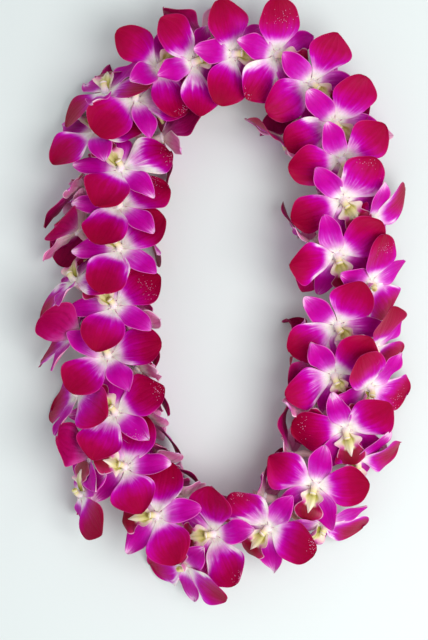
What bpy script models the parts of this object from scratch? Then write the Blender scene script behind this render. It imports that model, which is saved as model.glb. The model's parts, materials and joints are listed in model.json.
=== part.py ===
"""Fresh flower lei: dendrobium orchid blossoms strung on one closed cotton thread.

The loop lies flat on a table as a long rounded oval. Units are metres, +Z is up,
+Y runs along the oval, and the blossoms all face the same way round (clockwise
seen from above). Each blossom grew as one piece, so it is one solid: six tepals
(two petals, three sepals and the lip) round a hub, the column in front, and behind
it the spur, which the thread runs through, and the cut flower stalk.

The blossoms are placed first, along the loop. Then each tepal in turn takes the
gentlest pose in which it touches nothing, as tepals in a real lei push each other
aside, and lies flat where it would go below the table.
"""
import math
import random

import bmesh
import bpy
from mathutils import Vector
from mathutils.bvhtree import BVHTree

MM = 0.001

# ---- the loop of thread ----
LOOP_HALF_WIDTH = 85 * MM
LOOP_HALF_LENGTH = 167 * MM
LOOP_SQUARENESS = 2.45
LOOP_SAMPLES = 1440
TANGENT_REACH = 6
THREAD_HEIGHT = 23 * MM
THREAD_RADIUS = 0.6 * MM
THREAD_SIDES = 6
THREAD_POINTS = 140

# ---- one blossom: the hub, and the column in front of it ----
HUB_RADIUS = 3.8 * MM
HUB_CORNER = 1.12 * HUB_RADIUS
COLUMN_HEIGHT = 7.5 * MM
COLUMN_NOD = 1.5 * MM

# ---- one blossom: its tepals ----
# Each tepal: angle round the hub from the dorsal sepal, length, widest half width,
# where it is widest, rise out of the flower's face at its root and its curl to the
# tip, both in degrees, and how far its edges turn forward.
PETAL = dict(length=35.5 * MM, half=14.6 * MM, widest=0.60, rise=14, curl=-24, cup=0.10)
LATERAL_SEPAL = dict(length=30 * MM, half=7.4 * MM, widest=0.50, rise=2, curl=-16, cup=0.12)
DORSAL_SEPAL = dict(length=30 * MM, half=7.2 * MM, widest=0.52, rise=12, curl=-20, cup=0.12)
LIP = dict(length=23 * MM, half=9.5 * MM, widest=0.55, rise=42, curl=-80, cup=0.25)
TEPALS = {
    "dorsal": dict(turn=0, **DORSAL_SEPAL),
    "petal_left": dict(turn=70, **PETAL),
    "lateral_left": dict(turn=139, **LATERAL_SEPAL),
    "lip": dict(turn=180, **LIP),
    "lateral_right": dict(turn=-139, **LATERAL_SEPAL),
    "petal_right": dict(turn=-70, **PETAL),
}
SETTLE_ORDER = ["petal_left", "petal_right", "dorsal", "lateral_left", "lateral_right", "lip"]
TEPAL_THICKNESS = 1.0 * MM
ROOT_HALF_WIDTH = 1.9 * MM
TIP_BLUNTNESS = 0.8
STUNTED_WIDTH = 0.6
SPINE_STEPS = 12
PETAL_SECTIONS = (4, 8, 11)
SEPAL_SECTIONS = (5, 9)
TABLE_LEVEL = TEPAL_THICKNESS / 2
LEVEL_SLOPE = 0.999
LEVEL_TOUCH = 0.01 * MM
LEAST_HEADING = 0.2

# ---- one blossom: the spur, its eyelet for the thread, and the flower stalk ----
SPUR_LENGTH = 11 * MM
SPUR_RADIUS = 2.1 * MM
EYELET_BORE = 1.15 * MM
EYELET_RADIUS = 2.7 * MM
EYELET_LENGTH = 5 * MM
EYELET_SIDES = 6
STALK_LENGTH = 15 * MM
STALK_RADIUS = 1.3 * MM
STALK_SWELL = 1.15
STALK_START = 0.86 * EYELET_RADIUS
STALK_SWEEP = -0.35
STALK_BEND = 0.6
STALK_LEVEL = STALK_RADIUS + 0.6 * MM
STALK_SWINGS = (0.5, 0.1, 0.9, -0.4, -0.9, 1.4, -1.4)
CORNERS = ((-1, -1), (-1, 1), (1, 1), (1, -1))
CORNER_SHARE = 0.8

# ---- where the blossoms sit ----
# Upper row, clockwise from the top left: place of the flower's centre (x, y) in
# millimetres, the heading of its dorsal sepal seen from above, counter-clockwise from
# +X, how far its face leans forward and how far it rolls outward, in degrees.
UPPER_ROW = [
    (-46, 165, 215, 30, 0),
    (-22, 168, 205, 34, 0),
    (6, 174, 180, 32, 0),
    (36, 174, 165, 30, 0),
    (61, 154, 140, 32, 0),
    (77, 126, 135, 30, 0),
    (82, 100, 117, 34, 0),
    (83, 72, 134, 32, 0),
    (79, 33, 111, 28, 0),
    (103, 14, 35, 26, 48),
    (79, -16, 140, 28, 0),
    (77, -51, 126, 32, 0),
    (102, -60, 50, 26, 44),
    (85, -89, 112, 32, 0),
    (63, -128, 79, 26, 0),
    (30, -158, 56, 30, 0),
    (-8, -162, 11, 30, 0),
    (-28, -186, -75, 26, 52),
    (-48, -149, 12, 26, 0),
    (-70, -115, 5, 32, 0),
    (-101, -135, -105, 26, 55),
    (-77, -77, -37, 30, 0),
    (-82, -37, -58, 32, 0),
    (-78, -2, -33, 30, 0),
    (-74, 38, -35, 30, 0),
    (-74, 68, -39, 34, 0),
    (-73, 94, -42, 32, 0),
    (-91, 121, -70, 30, 30),
    (-84, 149, -100, 28, 50),
    (-63, 143, -70, 32, 0),
]
UPPER_HEIGHT = 39.5 * MM
HEIGHT_SWAY = 1.5 * MM
ROLL_DROP = 0.14 * MM
# Side blossoms sit in the gaps of the upper row: how many, which way they look (from
# straight up, outward positive), how far they are lifted, how far along the gap, and
# the least and most room of the gaps they take.
SIDE_GROUPS = [
    dict(count=8, side=56, lift=7 * MM, share=0.4, least=34 * MM, most=60 * MM, keep_rolled=False),
    dict(count=7, side=96, lift=-3 * MM, share=0.35, least=0, most=34 * MM, keep_rolled=True),
    dict(count=13, side=-98, lift=0, share=0.7, least=27.5 * MM, most=60 * MM, keep_rolled=True),
]
SIDE_REACH = 13 * MM
SIDE_SWAY = 12
SIDE_LEAN = 34
LEAN_SWAY = 6
SIDE_SPINS = (0, 18, -18, 36, -36, 60, -60)
EYELET_SPACING = 7.5 * MM
SPACING_ROUNDS = 60
SEED = 21

# ---- how tepals give way to each other ----
# A pose adds to a tepal's own rise, turn and curl, in degrees, and scales its length.
# Its cost grows with each, and the tepal takes the cheapest that has room.
CLEARANCE = 0.25 * MM
REACH_OUT = 50 * MM
REACH_IN = 41 * MM
TOP_HEIGHT = 65 * MM
TEPAL_REACH = 45 * MM
RISE_STEPS = (0, 8, -8, 16, -16, 25, -25, 35, -35, 48, -48, 62, -62)
TURN_STEPS = (0, 8, -8, 16, -16, 24, -24)
CURL_STEPS = (0, 18, -18, 40, -40)
SCALES = (1.0, 0.85, 0.7, 0.5, 0.3)
RISE_EASE = 30
TURN_EASE = 16
CURL_EASE = 40
SCALE_COST = 12
NO_ROOM = math.inf
# The blossom's core, as a row of prisms a little larger than the core itself.
CORE_SIDES = 6
CORE_HALF = 0.8 * MM
CORE_TIP = 0.6 * MM
CORE_RADIUS = 1.2 * HUB_RADIUS + CLEARANCE
CORE_SPUR = 1.5 * SPUR_RADIUS + CLEARANCE
CORE_STALK = (EYELET_RADIUS + CLEARANCE, 1.6 * STALK_RADIUS + CLEARANCE, 1.4 * STALK_RADIUS + CLEARANCE)
STEEP = 0.8


# ---- the loop ----
def loop_table():
    """Points of the oval seen from above, clockwise from the top, with their arc length."""
    points = []
    for i in range(LOOP_SAMPLES):
        angle = math.pi / 2 - 2 * math.pi * i / LOOP_SAMPLES
        c, s = math.cos(angle), math.sin(angle)
        power = 2 / LOOP_SQUARENESS
        x = LOOP_HALF_WIDTH * math.copysign(abs(c) ** power, c)
        y = LOOP_HALF_LENGTH * math.copysign(abs(s) ** power, s)
        points.append(Vector((x, y, THREAD_HEIGHT)))
    lengths = [0.0]
    for i in range(LOOP_SAMPLES):
        step = (points[(i + 1) % LOOP_SAMPLES] - points[i]).length
        lengths.append(lengths[-1] + step)
    return points, lengths


LOOP_POINTS, LOOP_LENGTHS = loop_table()
LOOP_LENGTH = LOOP_LENGTHS[-1]


def loop_at(s):
    """Point, clockwise tangent and outward normal at arc length s."""
    s = s % LOOP_LENGTH
    low, high = 0, LOOP_SAMPLES
    while high - low > 1:
        mid = (low + high) // 2
        if LOOP_LENGTHS[mid] <= s:
            low = mid
        else:
            high = mid
    a = LOOP_POINTS[low]
    b = LOOP_POINTS[(low + 1) % LOOP_SAMPLES]
    share = (s - LOOP_LENGTHS[low]) / (LOOP_LENGTHS[low + 1] - LOOP_LENGTHS[low])
    before = LOOP_POINTS[(low - TANGENT_REACH) % LOOP_SAMPLES]
    after = LOOP_POINTS[(low + 1 + TANGENT_REACH) % LOOP_SAMPLES]
    tangent = (after - before).normalized()
    normal = Vector((-tangent.y, tangent.x, 0))
    return a.lerp(b, share), tangent, normal


def nearest_station(point):
    """Arc length of the loop's point nearest to a point, seen from above."""
    best = min(range(LOOP_SAMPLES), key=lambda i: (LOOP_POINTS[i].xy - point.xy).length_squared)
    return LOOP_LENGTHS[best]


def thread_polygons(radius):
    """The thread as a closed ring of points and polygons."""
    points, polygons = [], []
    for k in range(THREAD_POINTS):
        centre, _, normal = loop_at(LOOP_LENGTH * k / THREAD_POINTS)
        for i in range(THREAD_SIDES):
            angle = 2 * math.pi * i / THREAD_SIDES
            offset = normal * math.cos(angle) + Vector((0, 0, math.sin(angle)))
            points.append(centre + offset * radius)
    for k in range(THREAD_POINTS):
        a = k * THREAD_SIDES
        b = ((k + 1) % THREAD_POINTS) * THREAD_SIDES
        for i in range(THREAD_SIDES):
            j = (i + 1) % THREAD_SIDES
            polygons.append((a + i, b + i, b + j, a + j))
    return points, polygons


# ---- where the blossoms sit ----
def make_blossom(centre, dorsal_hint, face, spins=(0,)):
    """The frame of one blossom, the bend of its spur, and what settling it will find."""
    face = face.normalized()
    dorsal = (dorsal_hint - face * dorsal_hint.dot(face)).normalized()
    bend = centre - face * SPUR_LENGTH
    return dict(
        centre=centre,
        face=face,
        dorsal=dorsal,
        side=face.cross(dorsal),
        bend=bend,
        station=nearest_station(bend),
        spins=spins,
        poses={},
        beyond=[],
        placed=[],
    )


def upper_blossoms(rng):
    """The blossoms that look up, in the order of the table."""
    found = []
    for x, y, heading, lean, roll in UPPER_ROW:
        height = UPPER_HEIGHT - ROLL_DROP * roll + rng.uniform(-1, 1) * HEIGHT_SWAY
        centre = Vector((x * MM, y * MM, height))
        _, tangent, normal = loop_at(nearest_station(centre))
        a, r = math.radians(lean), math.radians(roll)
        radial = Vector((0, 0, math.cos(r))) + normal * math.sin(r)
        face = radial * math.cos(a) + tangent * math.sin(a)
        b = math.radians(heading)
        flat = Vector((math.cos(b), math.sin(b), 0))
        hint = flat + Vector((0, 0, -flat.dot(face) / face.z))
        blossom = make_blossom(centre, hint, face)
        blossom["rolled"] = roll > 0
        found.append(blossom)
    return found


def upper_gaps(upper, group):
    """Start and room of the gaps of the upper row that a group of side blossoms takes."""
    stations = sorted(b["station"] for b in upper if not b["rolled"])
    rolled = [b["station"] for b in upper if b["rolled"]]
    found = []
    for i, first in enumerate(stations):
        room = (stations[(i + 1) % len(stations)] - first) % LOOP_LENGTH
        filled = any((r - first) % LOOP_LENGTH < room for r in rolled)
        if group["least"] <= room < group["most"] and (group["keep_rolled"] or not filled):
            found.append((first, room))
    return found


def side_blossoms(group, upper, rng):
    """Blossoms that look out to one side of the loop, spread over gaps of the upper row."""
    found = []
    gaps = upper_gaps(upper, group)
    outward = math.copysign(1, group["side"])
    for k in range(group["count"]):
        first, room = gaps[int(len(gaps) * (k + 0.5) / group["count"])]
        point, tangent, normal = loop_at(first + room * group["share"])
        phi = math.radians(group["side"] + rng.uniform(-SIDE_SWAY, SIDE_SWAY))
        radial = Vector((0, 0, math.cos(phi))) + normal * math.sin(phi)
        lean = math.radians(SIDE_LEAN + rng.uniform(-LEAN_SWAY, LEAN_SWAY))
        face = radial * math.cos(lean) + tangent * math.sin(lean)
        centre = point + normal * outward * SIDE_REACH + face * SPUR_LENGTH
        centre.z += group["lift"]
        found.append(make_blossom(centre, -tangent, face, SIDE_SPINS))
    return found


def thread_blossoms(found):
    """Space the blossoms along the thread and set where it runs through each spur."""
    order = sorted(found, key=lambda blossom: blossom["station"])
    for _ in range(SPACING_ROUNDS):
        for i, blossom in enumerate(order):
            after = order[(i + 1) % len(order)]
            gap = (after["station"] - blossom["station"]) % LOOP_LENGTH
            if gap > LOOP_LENGTH / 2:
                gap -= LOOP_LENGTH
            if gap < EYELET_SPACING:
                push = (EYELET_SPACING - gap) / 2
                blossom["station"] -= push
                after["station"] += push
    for number, blossom in enumerate(found):
        eyelet, tangent, normal = loop_at(blossom["station"])
        away = eyelet - blossom["bend"]
        away = (away - tangent * away.dot(tangent)).normalized()
        blossom.update(number=number, eyelet=eyelet, tangent=tangent, normal=normal, away=away)


def placed_blossoms():
    """All the blossoms on their thread, the upper row first."""
    rng = random.Random(SEED)
    upper = upper_blossoms(rng)
    found = list(upper)
    for group in SIDE_GROUPS:
        found += side_blossoms(group, upper, rng)
    thread_blossoms(found)
    return found


# ---- the shape of a blossom ----
def half_width(tepal, t):
    """Half width of a tepal at a share t of its length."""
    power = math.log(0.5) / math.log(tepal["widest"])
    swell = max(0.0, math.sin(math.pi * t ** power)) ** TIP_BLUNTNESS
    return ROOT_HALF_WIDTH * (1 - t) + tepal["half"] * swell


def kept_width(scale):
    """Share of its width that a tepal keeps when its length is scaled."""
    return STUNTED_WIDTH + (1 - STUNTED_WIDTH) * scale


def outward(blossom, degrees):
    """Direction in the blossom's plane at an angle round the hub from the dorsal sepal."""
    turn = math.radians(degrees)
    return blossom["dorsal"] * math.cos(turn) + blossom["side"] * math.sin(turn)


def level_frame(ahead, spare, across, front):
    """The frame of a tepal that lies flat on the table, heading where it was going."""
    heading = Vector((ahead.x, ahead.y, 0))
    if heading.length < LEAST_HEADING:
        heading = Vector((spare.x, spare.y, 0))
    heading.normalize()
    up = Vector((0, 0, 1 if front.z >= 0 else -1))
    sideways = up.cross(heading)
    if sideways.dot(across) < 0:
        sideways = -sideways
    return heading, sideways, up


def spine(blossom, tepal, pose):
    """Points and frames along the middle of a tepal, bent flat where it meets the table."""
    along = outward(blossom, tepal["turn"] + pose["turn"])
    across = outward(blossom, tepal["turn"] + pose["turn"] + 90)
    face = blossom["face"]
    step = tepal["length"] * pose["scale"] / SPINE_STEPS
    point = blossom["centre"] + outward(blossom, tepal["turn"]) * HUB_RADIUS
    frames = []
    level = None
    for i in range(SPINE_STEPS + 1):
        t = i / SPINE_STEPS
        if level is None:
            lift = math.radians(tepal["rise"] + pose["rise"] + (tepal["curl"] + pose["curl"]) * t)
            ahead = along * math.cos(lift) + face * math.sin(lift)
            front = face * math.cos(lift) - along * math.sin(lift)
            frames.append((point.copy(), ahead, across, front, t))
            if point.z + ahead.z * step < TABLE_LEVEL:
                level = level_frame(ahead, along + face, across, front)
        else:
            frames.append((point.copy(), *level, t))
        point = point + (ahead if level is None else level[0]) * step
        if level is not None:
            point.z = TABLE_LEVEL
    return frames


def sections(blossom, name, pose):
    """Cross-sections of a tepal after its root (right, middle, left, front) and its tip."""
    tepal = TEPALS[name]
    frames = spine(blossom, tepal, pose)
    found = []
    for index in PETAL_SECTIONS if name.startswith("petal") else SEPAL_SECTIONS:
        middle, _, across, front, t = frames[index]
        wide = half_width(tepal, t) * kept_width(pose["scale"])
        edge = front * tepal["cup"] * wide
        right = middle - across * wide + edge
        left = middle + across * wide + edge
        lies_flat = abs(front.z) > LEVEL_SLOPE and middle.z < TABLE_LEVEL + LEVEL_TOUCH
        for side in (right, left):
            side.z = 0.0 if lies_flat else max(side.z, 0.0)
        found.append((right, middle, left, front))
    tip = frames[-1][0].copy()
    if found[-1][0].z == 0 and found[-1][2].z == 0 and tip.z < TABLE_LEVEL + LEVEL_TOUCH:
        tip.z = 0.0
    return found, tip


def hub_points(blossom):
    """The hub's corners between the tepals, and the top and bottom of each tepal's root."""
    names = list(TEPALS)
    corners, tops, bottoms = [], [], []
    for name, after in zip(names, names[1:] + names[:1]):
        turn = TEPALS[name]["turn"]
        gap = (TEPALS[after]["turn"] - turn) % 360
        corners.append(blossom["centre"] + outward(blossom, turn + gap / 2) * HUB_CORNER)
        root = blossom["centre"] + outward(blossom, turn) * HUB_RADIUS
        tops.append(root + blossom["face"] * TEPAL_THICKNESS / 2)
        bottoms.append(root - blossom["face"] * TEPAL_THICKNESS / 2)
    return corners, tops, bottoms


def column_tip(blossom, extra=0.0):
    """The tip of the column, which nods towards the lip."""
    return blossom["centre"] + blossom["face"] * (COLUMN_HEIGHT + extra) - blossom["dorsal"] * COLUMN_NOD


def stalk_path(blossom, swing):
    """Centre points of the flower stalk, from the spur to its cut end."""
    away = blossom["away"]
    lean = blossom["tangent"] * STALK_SWEEP + blossom["tangent"].cross(away) * swing
    points = [blossom["eyelet"] + away * STALK_START]
    for k in (1, 2):
        heading = (away + lean * (STALK_BEND * k)).normalized()
        ahead = points[-1] + heading * STALK_LENGTH / 2
        ahead.z = max(ahead.z, STALK_LEVEL)
        points.append(ahead)
    return points


# ---- settling the tepals ----
def bounds_of(points):
    """Lowest and highest corner of a set of points."""
    low = Vector([min(p[i] for p in points) for i in range(3)])
    high = Vector([max(p[i] for p in points) for i in range(3)])
    return low, high


def boxes_meet(a, b):
    """Whether two boxes meet."""
    return all(a[0][i] <= b[1][i] and b[0][i] <= a[1][i] for i in range(3))


def placed_shape(owner, points, polygons):
    """A shape that later tepals keep clear of."""
    return dict(owner=owner, box=bounds_of(points), tree=BVHTree.FromPolygons(points, polygons))


def touches(shape, others):
    """Whether a placed shape touches any of some others."""
    return any(boxes_meet(shape["box"], e["box"]) and shape["tree"].overlap(e["tree"]) for e in others)


def near_to(blossom, placed):
    """The placed shapes that a blossom's tepals can reach, other than its own."""
    reach = Vector((1, 1, 1)) * TEPAL_REACH
    box = blossom["centre"] - reach, blossom["centre"] + reach
    return [e for e in placed if e["owner"] != blossom["number"] and boxes_meet(box, e["box"])]


def slab(blossom, name, pose):
    """Closed slab of a tepal with clearance all round, six points to a cross-section."""
    found, tip = sections(blossom, name, pose)
    corners, tops, bottoms = hub_points(blossom)
    i = list(TEPALS).index(name)
    rows = [(corners[i - 1], (tops[i] + bottoms[i]) / 2, corners[i], blossom["face"])] + found
    wide = (rows[-1][2] - rows[-1][0]).normalized() * CLEARANCE * 2
    rows.append((tip - wide, tip, tip + wide, rows[-1][3]))
    half = TEPAL_THICKNESS / 2 + CLEARANCE
    points = []
    for right, middle, left, front in rows:
        margin = (left - right).normalized() * CLEARANCE
        for q in (right - margin, middle, left + margin):
            points.append(q + front * half)
            points.append(q - front * half)
    polygons = []
    for r in range(len(rows) - 1):
        a, b = 6 * r, 6 * (r + 1)
        polygons += [(a, a + 2, b + 2, b), (a + 2, a + 4, b + 4, b + 2)]
        polygons += [(a + 1, b + 1, b + 3, a + 3), (a + 3, b + 3, b + 5, a + 5)]
        polygons += [(a, b, b + 1, a + 1), (a + 4, a + 5, b + 5, b + 4)]
    last = 6 * (len(rows) - 1)
    polygons += [(last, last + 2, last + 3, last + 1), (last + 2, last + 4, last + 5, last + 3)]
    return points, polygons


def beyond_root(points, polygons):
    """Search tree of a tepal's slab without its root, for testing it against its own blossom."""
    return BVHTree.FromPolygons(points, [polygon for polygon in polygons if min(polygon) >= 6])


def within_limits(points, blossom):
    """Whether the points stay in the lei's own cross-section, from side to side and in height."""
    for q in points:
        out = (q - blossom["eyelet"]).dot(blossom["normal"])
        if out > REACH_OUT or out < -REACH_IN or q.z > TOP_HEIGHT:
            return False
    return True


def prism(path, radii):
    """Closed prism along a path, one radius for each point of it."""
    points, polygons = [], []
    last = len(path) - 1
    for k, centre in enumerate(path):
        heading = (path[min(k + 1, last)] - path[max(k - 1, 0)]).normalized()
        helper = Vector((0, 0, 1)) if abs(heading.z) < STEEP else Vector((1, 0, 0))
        a = heading.cross(helper).normalized()
        b = heading.cross(a)
        for i in range(CORE_SIDES):
            angle = 2 * math.pi * i / CORE_SIDES
            points.append(centre + (a * math.cos(angle) + b * math.sin(angle)) * radii[k])
    for k in range(last):
        for i in range(CORE_SIDES):
            j = (i + 1) % CORE_SIDES
            a, b = k * CORE_SIDES, (k + 1) * CORE_SIDES
            polygons.append((a + i, a + j, b + j, b + i))
    polygons.append(tuple(range(CORE_SIDES)))
    polygons.append(tuple(last * CORE_SIDES + i for i in range(CORE_SIDES)))
    return points, polygons


def core_prisms(blossom):
    """The blossom without its tepals, a little larger, as three prisms in one shape."""
    centre, face, eyelet = blossom["centre"], blossom["face"], blossom["eyelet"]
    half = face * CORE_HALF
    body = [column_tip(blossom, CLEARANCE), centre + half, centre - half, blossom["bend"], eyelet]
    body_radii = [CORE_TIP, CORE_RADIUS, CORE_RADIUS, CORE_SPUR, CORE_STALK[0]]
    end = blossom["tangent"] * (EYELET_LENGTH / 2 + CLEARANCE)
    points, polygons = [], []
    for path, radii in (
        (body, body_radii),
        ([eyelet - end, eyelet + end], [EYELET_RADIUS + CLEARANCE] * 2),
        (stalk_path(blossom, blossom["swing"]), CORE_STALK),
    ):
        first = len(points)
        more, faces = prism(path, radii)
        points += more
        polygons += [tuple(first + i for i in face) for face in faces]
    return points, polygons


def pose_choices():
    """Ways to move a tepal out of the way with their costs, the gentlest first."""
    choices = []
    for scale in SCALES:
        for rise in RISE_STEPS:
            for turn in TURN_STEPS:
                for curl in CURL_STEPS:
                    bent = (rise / RISE_EASE) ** 2 + (turn / TURN_EASE) ** 2 + (curl / CURL_EASE) ** 2
                    pose = dict(rise=rise, turn=turn, curl=curl, scale=scale)
                    choices.append((bent + SCALE_COST * (1 - scale), pose))
    choices.sort(key=lambda item: item[0])
    return choices


def settle_core(blossom, placed):
    """Swing the flower stalk clear of the other blossoms' cores."""
    others = [e for e in placed if e["owner"] is not None]
    for swing in STALK_SWINGS:
        blossom["swing"] = swing
        shape = placed_shape(blossom["number"], *core_prisms(blossom))
        if not touches(shape, others):
            placed.append(shape)
            return
    raise ValueError(f"blossom {blossom['number'] + 1} has no room on the thread")


def settle_tepal(blossom, name, near, choices, ceiling):
    """Pose one tepal clear of what is near; returns what it costs, at most the ceiling."""
    for cost, pose in choices:
        if cost > ceiling:
            break
        points, polygons = slab(blossom, name, pose)
        if not within_limits(points, blossom):
            continue
        shape = placed_shape(blossom["number"], points, polygons)
        if touches(shape, near):
            continue
        beyond = beyond_root(points, polygons)
        if any(beyond.overlap(e) for e in blossom["beyond"]):
            continue
        blossom["poses"][name] = pose
        blossom["beyond"].append(beyond)
        blossom["placed"].append(shape)
        return cost
    return NO_ROOM


def spun(blossom, degrees):
    """A copy of a blossom turned in its own plane."""
    trial = dict(blossom)
    trial["dorsal"] = outward(blossom, degrees)
    trial["side"] = outward(blossom, degrees + 90)
    trial.update(poses={}, beyond=[], placed=[])
    return trial


def settle_spun(blossom, near, choices):
    """Settle a blossom's tepals, turned in its own plane to where that is the cheapest."""
    best, chosen = NO_ROOM, None
    for spin in blossom["spins"]:
        trial = spun(blossom, spin)
        total = 0
        for name in SETTLE_ORDER:
            total += settle_tepal(trial, name, near, choices, best - total)
            if total >= best:
                break
        if total < best:
            best, chosen = total, trial
    if chosen is None:
        raise ValueError(f"blossom {blossom['number'] + 1} has no room for its tepals")
    blossom.update(chosen)


def settle(found):
    """Give every tepal a pose in which it touches nothing, the upper row's first."""
    choices = pose_choices()
    placed = [placed_shape(None, *thread_polygons(THREAD_RADIUS + CLEARANCE))]
    for blossom in found:
        settle_core(blossom, placed)
    fixed = [b for b in found if len(b["spins"]) == 1]
    for name in SETTLE_ORDER:
        for blossom in fixed:
            cost = settle_tepal(blossom, name, near_to(blossom, placed), choices, NO_ROOM)
            if cost == NO_ROOM:
                raise ValueError(f"blossom {blossom['number'] + 1} has no room for its {name}")
            placed.append(blossom["placed"][-1])
    for blossom in found:
        if blossom not in fixed:
            settle_spun(blossom, near_to(blossom, placed), choices)
            placed += blossom["placed"]


# ---- the solid of a blossom ----
class Solid:
    """A closed mesh in the making: its points and its polygons."""

    def __init__(self):
        self.points = []
        self.polygons = []

    def add(self, points):
        """Add points; returns their numbers."""
        first = len(self.points)
        self.points += points
        return list(range(first, len(self.points)))

    def join(self, ring, after):
        """Faces between two closed rings of as many points."""
        size = len(ring)
        for k in range(size):
            m = (k + 1) % size
            self.polygons.append((ring[k], after[k], after[m], ring[m]))

    def least_twisted(self, ring, new):
        """The order of a new ring that twists least against the ring before it."""
        size = len(ring)
        turns = [c[shift:] + c[:shift] for c in (new, new[::-1]) for shift in range(size)]
        points = self.points
        return min(turns, key=lambda t: sum((points[t[i]] - points[ring[i]]).length for i in range(size)))

    def square(self, centre, heading, guide, radius):
        """Four points round a path's centre, lined up with a guiding direction."""
        a = (guide - heading * guide.dot(heading)).normalized()
        b = heading.cross(a)
        reach = radius * CORNER_SHARE
        return self.add([centre + (a * u + b * v) * reach for u, v in CORNERS])


def build_hub(solid, blossom):
    """The hub's front with the column; returns its corners, tops, bottoms and back rim."""
    corners, tops, bottoms = (solid.add(points) for points in hub_points(blossom))
    front_rim = [i for pair in zip(tops, corners) for i in pair]
    back_rim = [i for pair in zip(bottoms, corners) for i in pair]
    tip, = solid.add([column_tip(blossom)])
    for i, j in zip(front_rim, front_rim[1:] + front_rim[:1]):
        solid.polygons.append((i, j, tip))
    return corners, tops, bottoms, back_rim


def build_tepal(solid, blossom, name, ring):
    """A tepal from its four points on the hub to its tip."""
    found, tip = sections(blossom, name, blossom["poses"][name])
    for right, middle, left, front in found:
        thick = front * TEPAL_THICKNESS / 2
        new = solid.add([right, middle + thick, left, middle - thick])
        solid.join(ring, new)
        ring = new
    end, = solid.add([tip])
    for k in range(4):
        solid.polygons.append((ring[k], end, ring[(k + 1) % 4]))


def build_eyelet(solid, blossom):
    """The bead round the thread; returns its open sides towards the flower and the stalk."""
    tangent, away = blossom["tangent"], blossom["away"]
    third = tangent.cross(away)

    def ring(end, radius):
        middle = blossom["eyelet"] + tangent * (end * EYELET_LENGTH / 2)
        angles = [2 * math.pi * (i + 0.5) / EYELET_SIDES for i in range(EYELET_SIDES)]
        return solid.add([middle + (third * math.sin(a) - away * math.cos(a)) * radius for a in angles])

    back_in, front_in = ring(-1, EYELET_BORE), ring(1, EYELET_BORE)
    back_out, front_out = ring(-1, EYELET_RADIUS), ring(1, EYELET_RADIUS)
    solid.join(back_in, front_in)
    solid.join(back_out, back_in)
    solid.join(front_in, front_out)
    sides = []
    for i in range(EYELET_SIDES):
        j = (i + 1) % EYELET_SIDES
        sides.append([back_out[i], back_out[j], front_out[j], front_out[i]])
    towards_flower = sides.pop()
    towards_stalk = sides.pop(EYELET_SIDES // 2 - 1)
    solid.polygons += [tuple(side) for side in sides]
    return towards_flower, towards_stalk


def build_spur(solid, blossom, rim, opening):
    """The spur, from the hub's back rim over its bend to the eyelet."""
    bend = blossom["bend"]
    before = (blossom["centre"] - bend).normalized()
    after = (bend - blossom["eyelet"]).normalized()
    middle = solid.square(bend, (before + after).normalized(), blossom["tangent"], SPUR_RADIUS)
    bridge(solid, rim, middle)
    solid.join(opening, solid.least_twisted(opening, middle))


def bridge(solid, outer, inner):
    """Triangles between a closed loop of many points and a loop of four."""
    size, few = len(outer), len(inner)
    step = size // few

    def stretch(candidate, shift):
        ends = [(outer[(shift + k * step) % size], candidate[k]) for k in range(few)]
        return sum((solid.points[i] - solid.points[j]).length for i, j in ends)

    turns = [(candidate, shift) for candidate in (inner, inner[::-1]) for shift in range(size)]
    candidate, shift = min(turns, key=lambda turn: stretch(*turn))
    for k in range(few):
        start = shift + k * step
        for m in range(step):
            solid.polygons.append((outer[(start + m) % size], outer[(start + m + 1) % size], candidate[k]))
        solid.polygons.append((outer[(start + step) % size], candidate[(k + 1) % few], candidate[k]))


def build_stalk(solid, blossom, ring):
    """The flower stalk, from the eyelet's far side to its cut end."""
    path = stalk_path(blossom, blossom["swing"])
    for before, centre, radius in zip(path, path[1:], (STALK_SWELL * STALK_RADIUS, STALK_RADIUS)):
        heading = (centre - before).normalized()
        new = solid.square(centre, heading, blossom["tangent"], radius)
        new = solid.least_twisted(ring, new)
        solid.join(ring, new)
        ring = new
    solid.polygons.append(tuple(ring))


def build_blossom(blossom):
    """The closed solid of a blossom."""
    solid = Solid()
    corners, tops, bottoms, back_rim = build_hub(solid, blossom)
    for i, name in enumerate(TEPALS):
        build_tepal(solid, blossom, name, [corners[i - 1], tops[i], corners[i], bottoms[i]])
    towards_flower, towards_stalk = build_eyelet(solid, blossom)
    build_spur(solid, blossom, back_rim, towards_flower)
    build_stalk(solid, blossom, towards_stalk)
    return solid.points, solid.polygons


# ---- Blender objects ----
def new_object(name, points, polygons, place, parent, material):
    """A Blender object at a place, from points and polygons, its faces turned outward."""
    bm = bmesh.new()
    verts = [bm.verts.new(p - place) for p in points]
    for polygon in polygons:
        bm.faces.new([verts[i] for i in polygon])
    bmesh.ops.recalc_face_normals(bm, faces=bm.faces)
    bmesh.ops.triangulate(bm, faces=bm.faces)
    mesh = bpy.data.meshes.new(name)
    bm.to_mesh(mesh)
    bm.free()
    mesh.materials.append(material)
    obj = bpy.data.objects.new(name, mesh)
    obj.location = place
    obj.parent = parent
    bpy.context.scene.collection.objects.link(obj)
    return obj


def new_material(name, colour, roughness):
    """A plain Principled material."""
    material = bpy.data.materials.new(name)
    material.use_nodes = True
    shader = material.node_tree.nodes["Principled BSDF"]
    shader.inputs["Base Color"].default_value = (*colour, 1)
    shader.inputs["Roughness"].default_value = roughness
    shader.inputs["Metallic"].default_value = 0.0
    return material


def centre_on_origin(lei, objects):
    """Move the whole lei so that its box stands centred on the origin."""
    low, high = bounds_of([obj.location + v.co for obj in objects for v in obj.data.vertices])
    lei.location = (-(low.x + high.x) / 2, -(low.y + high.y) / 2, -low.z)


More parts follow.
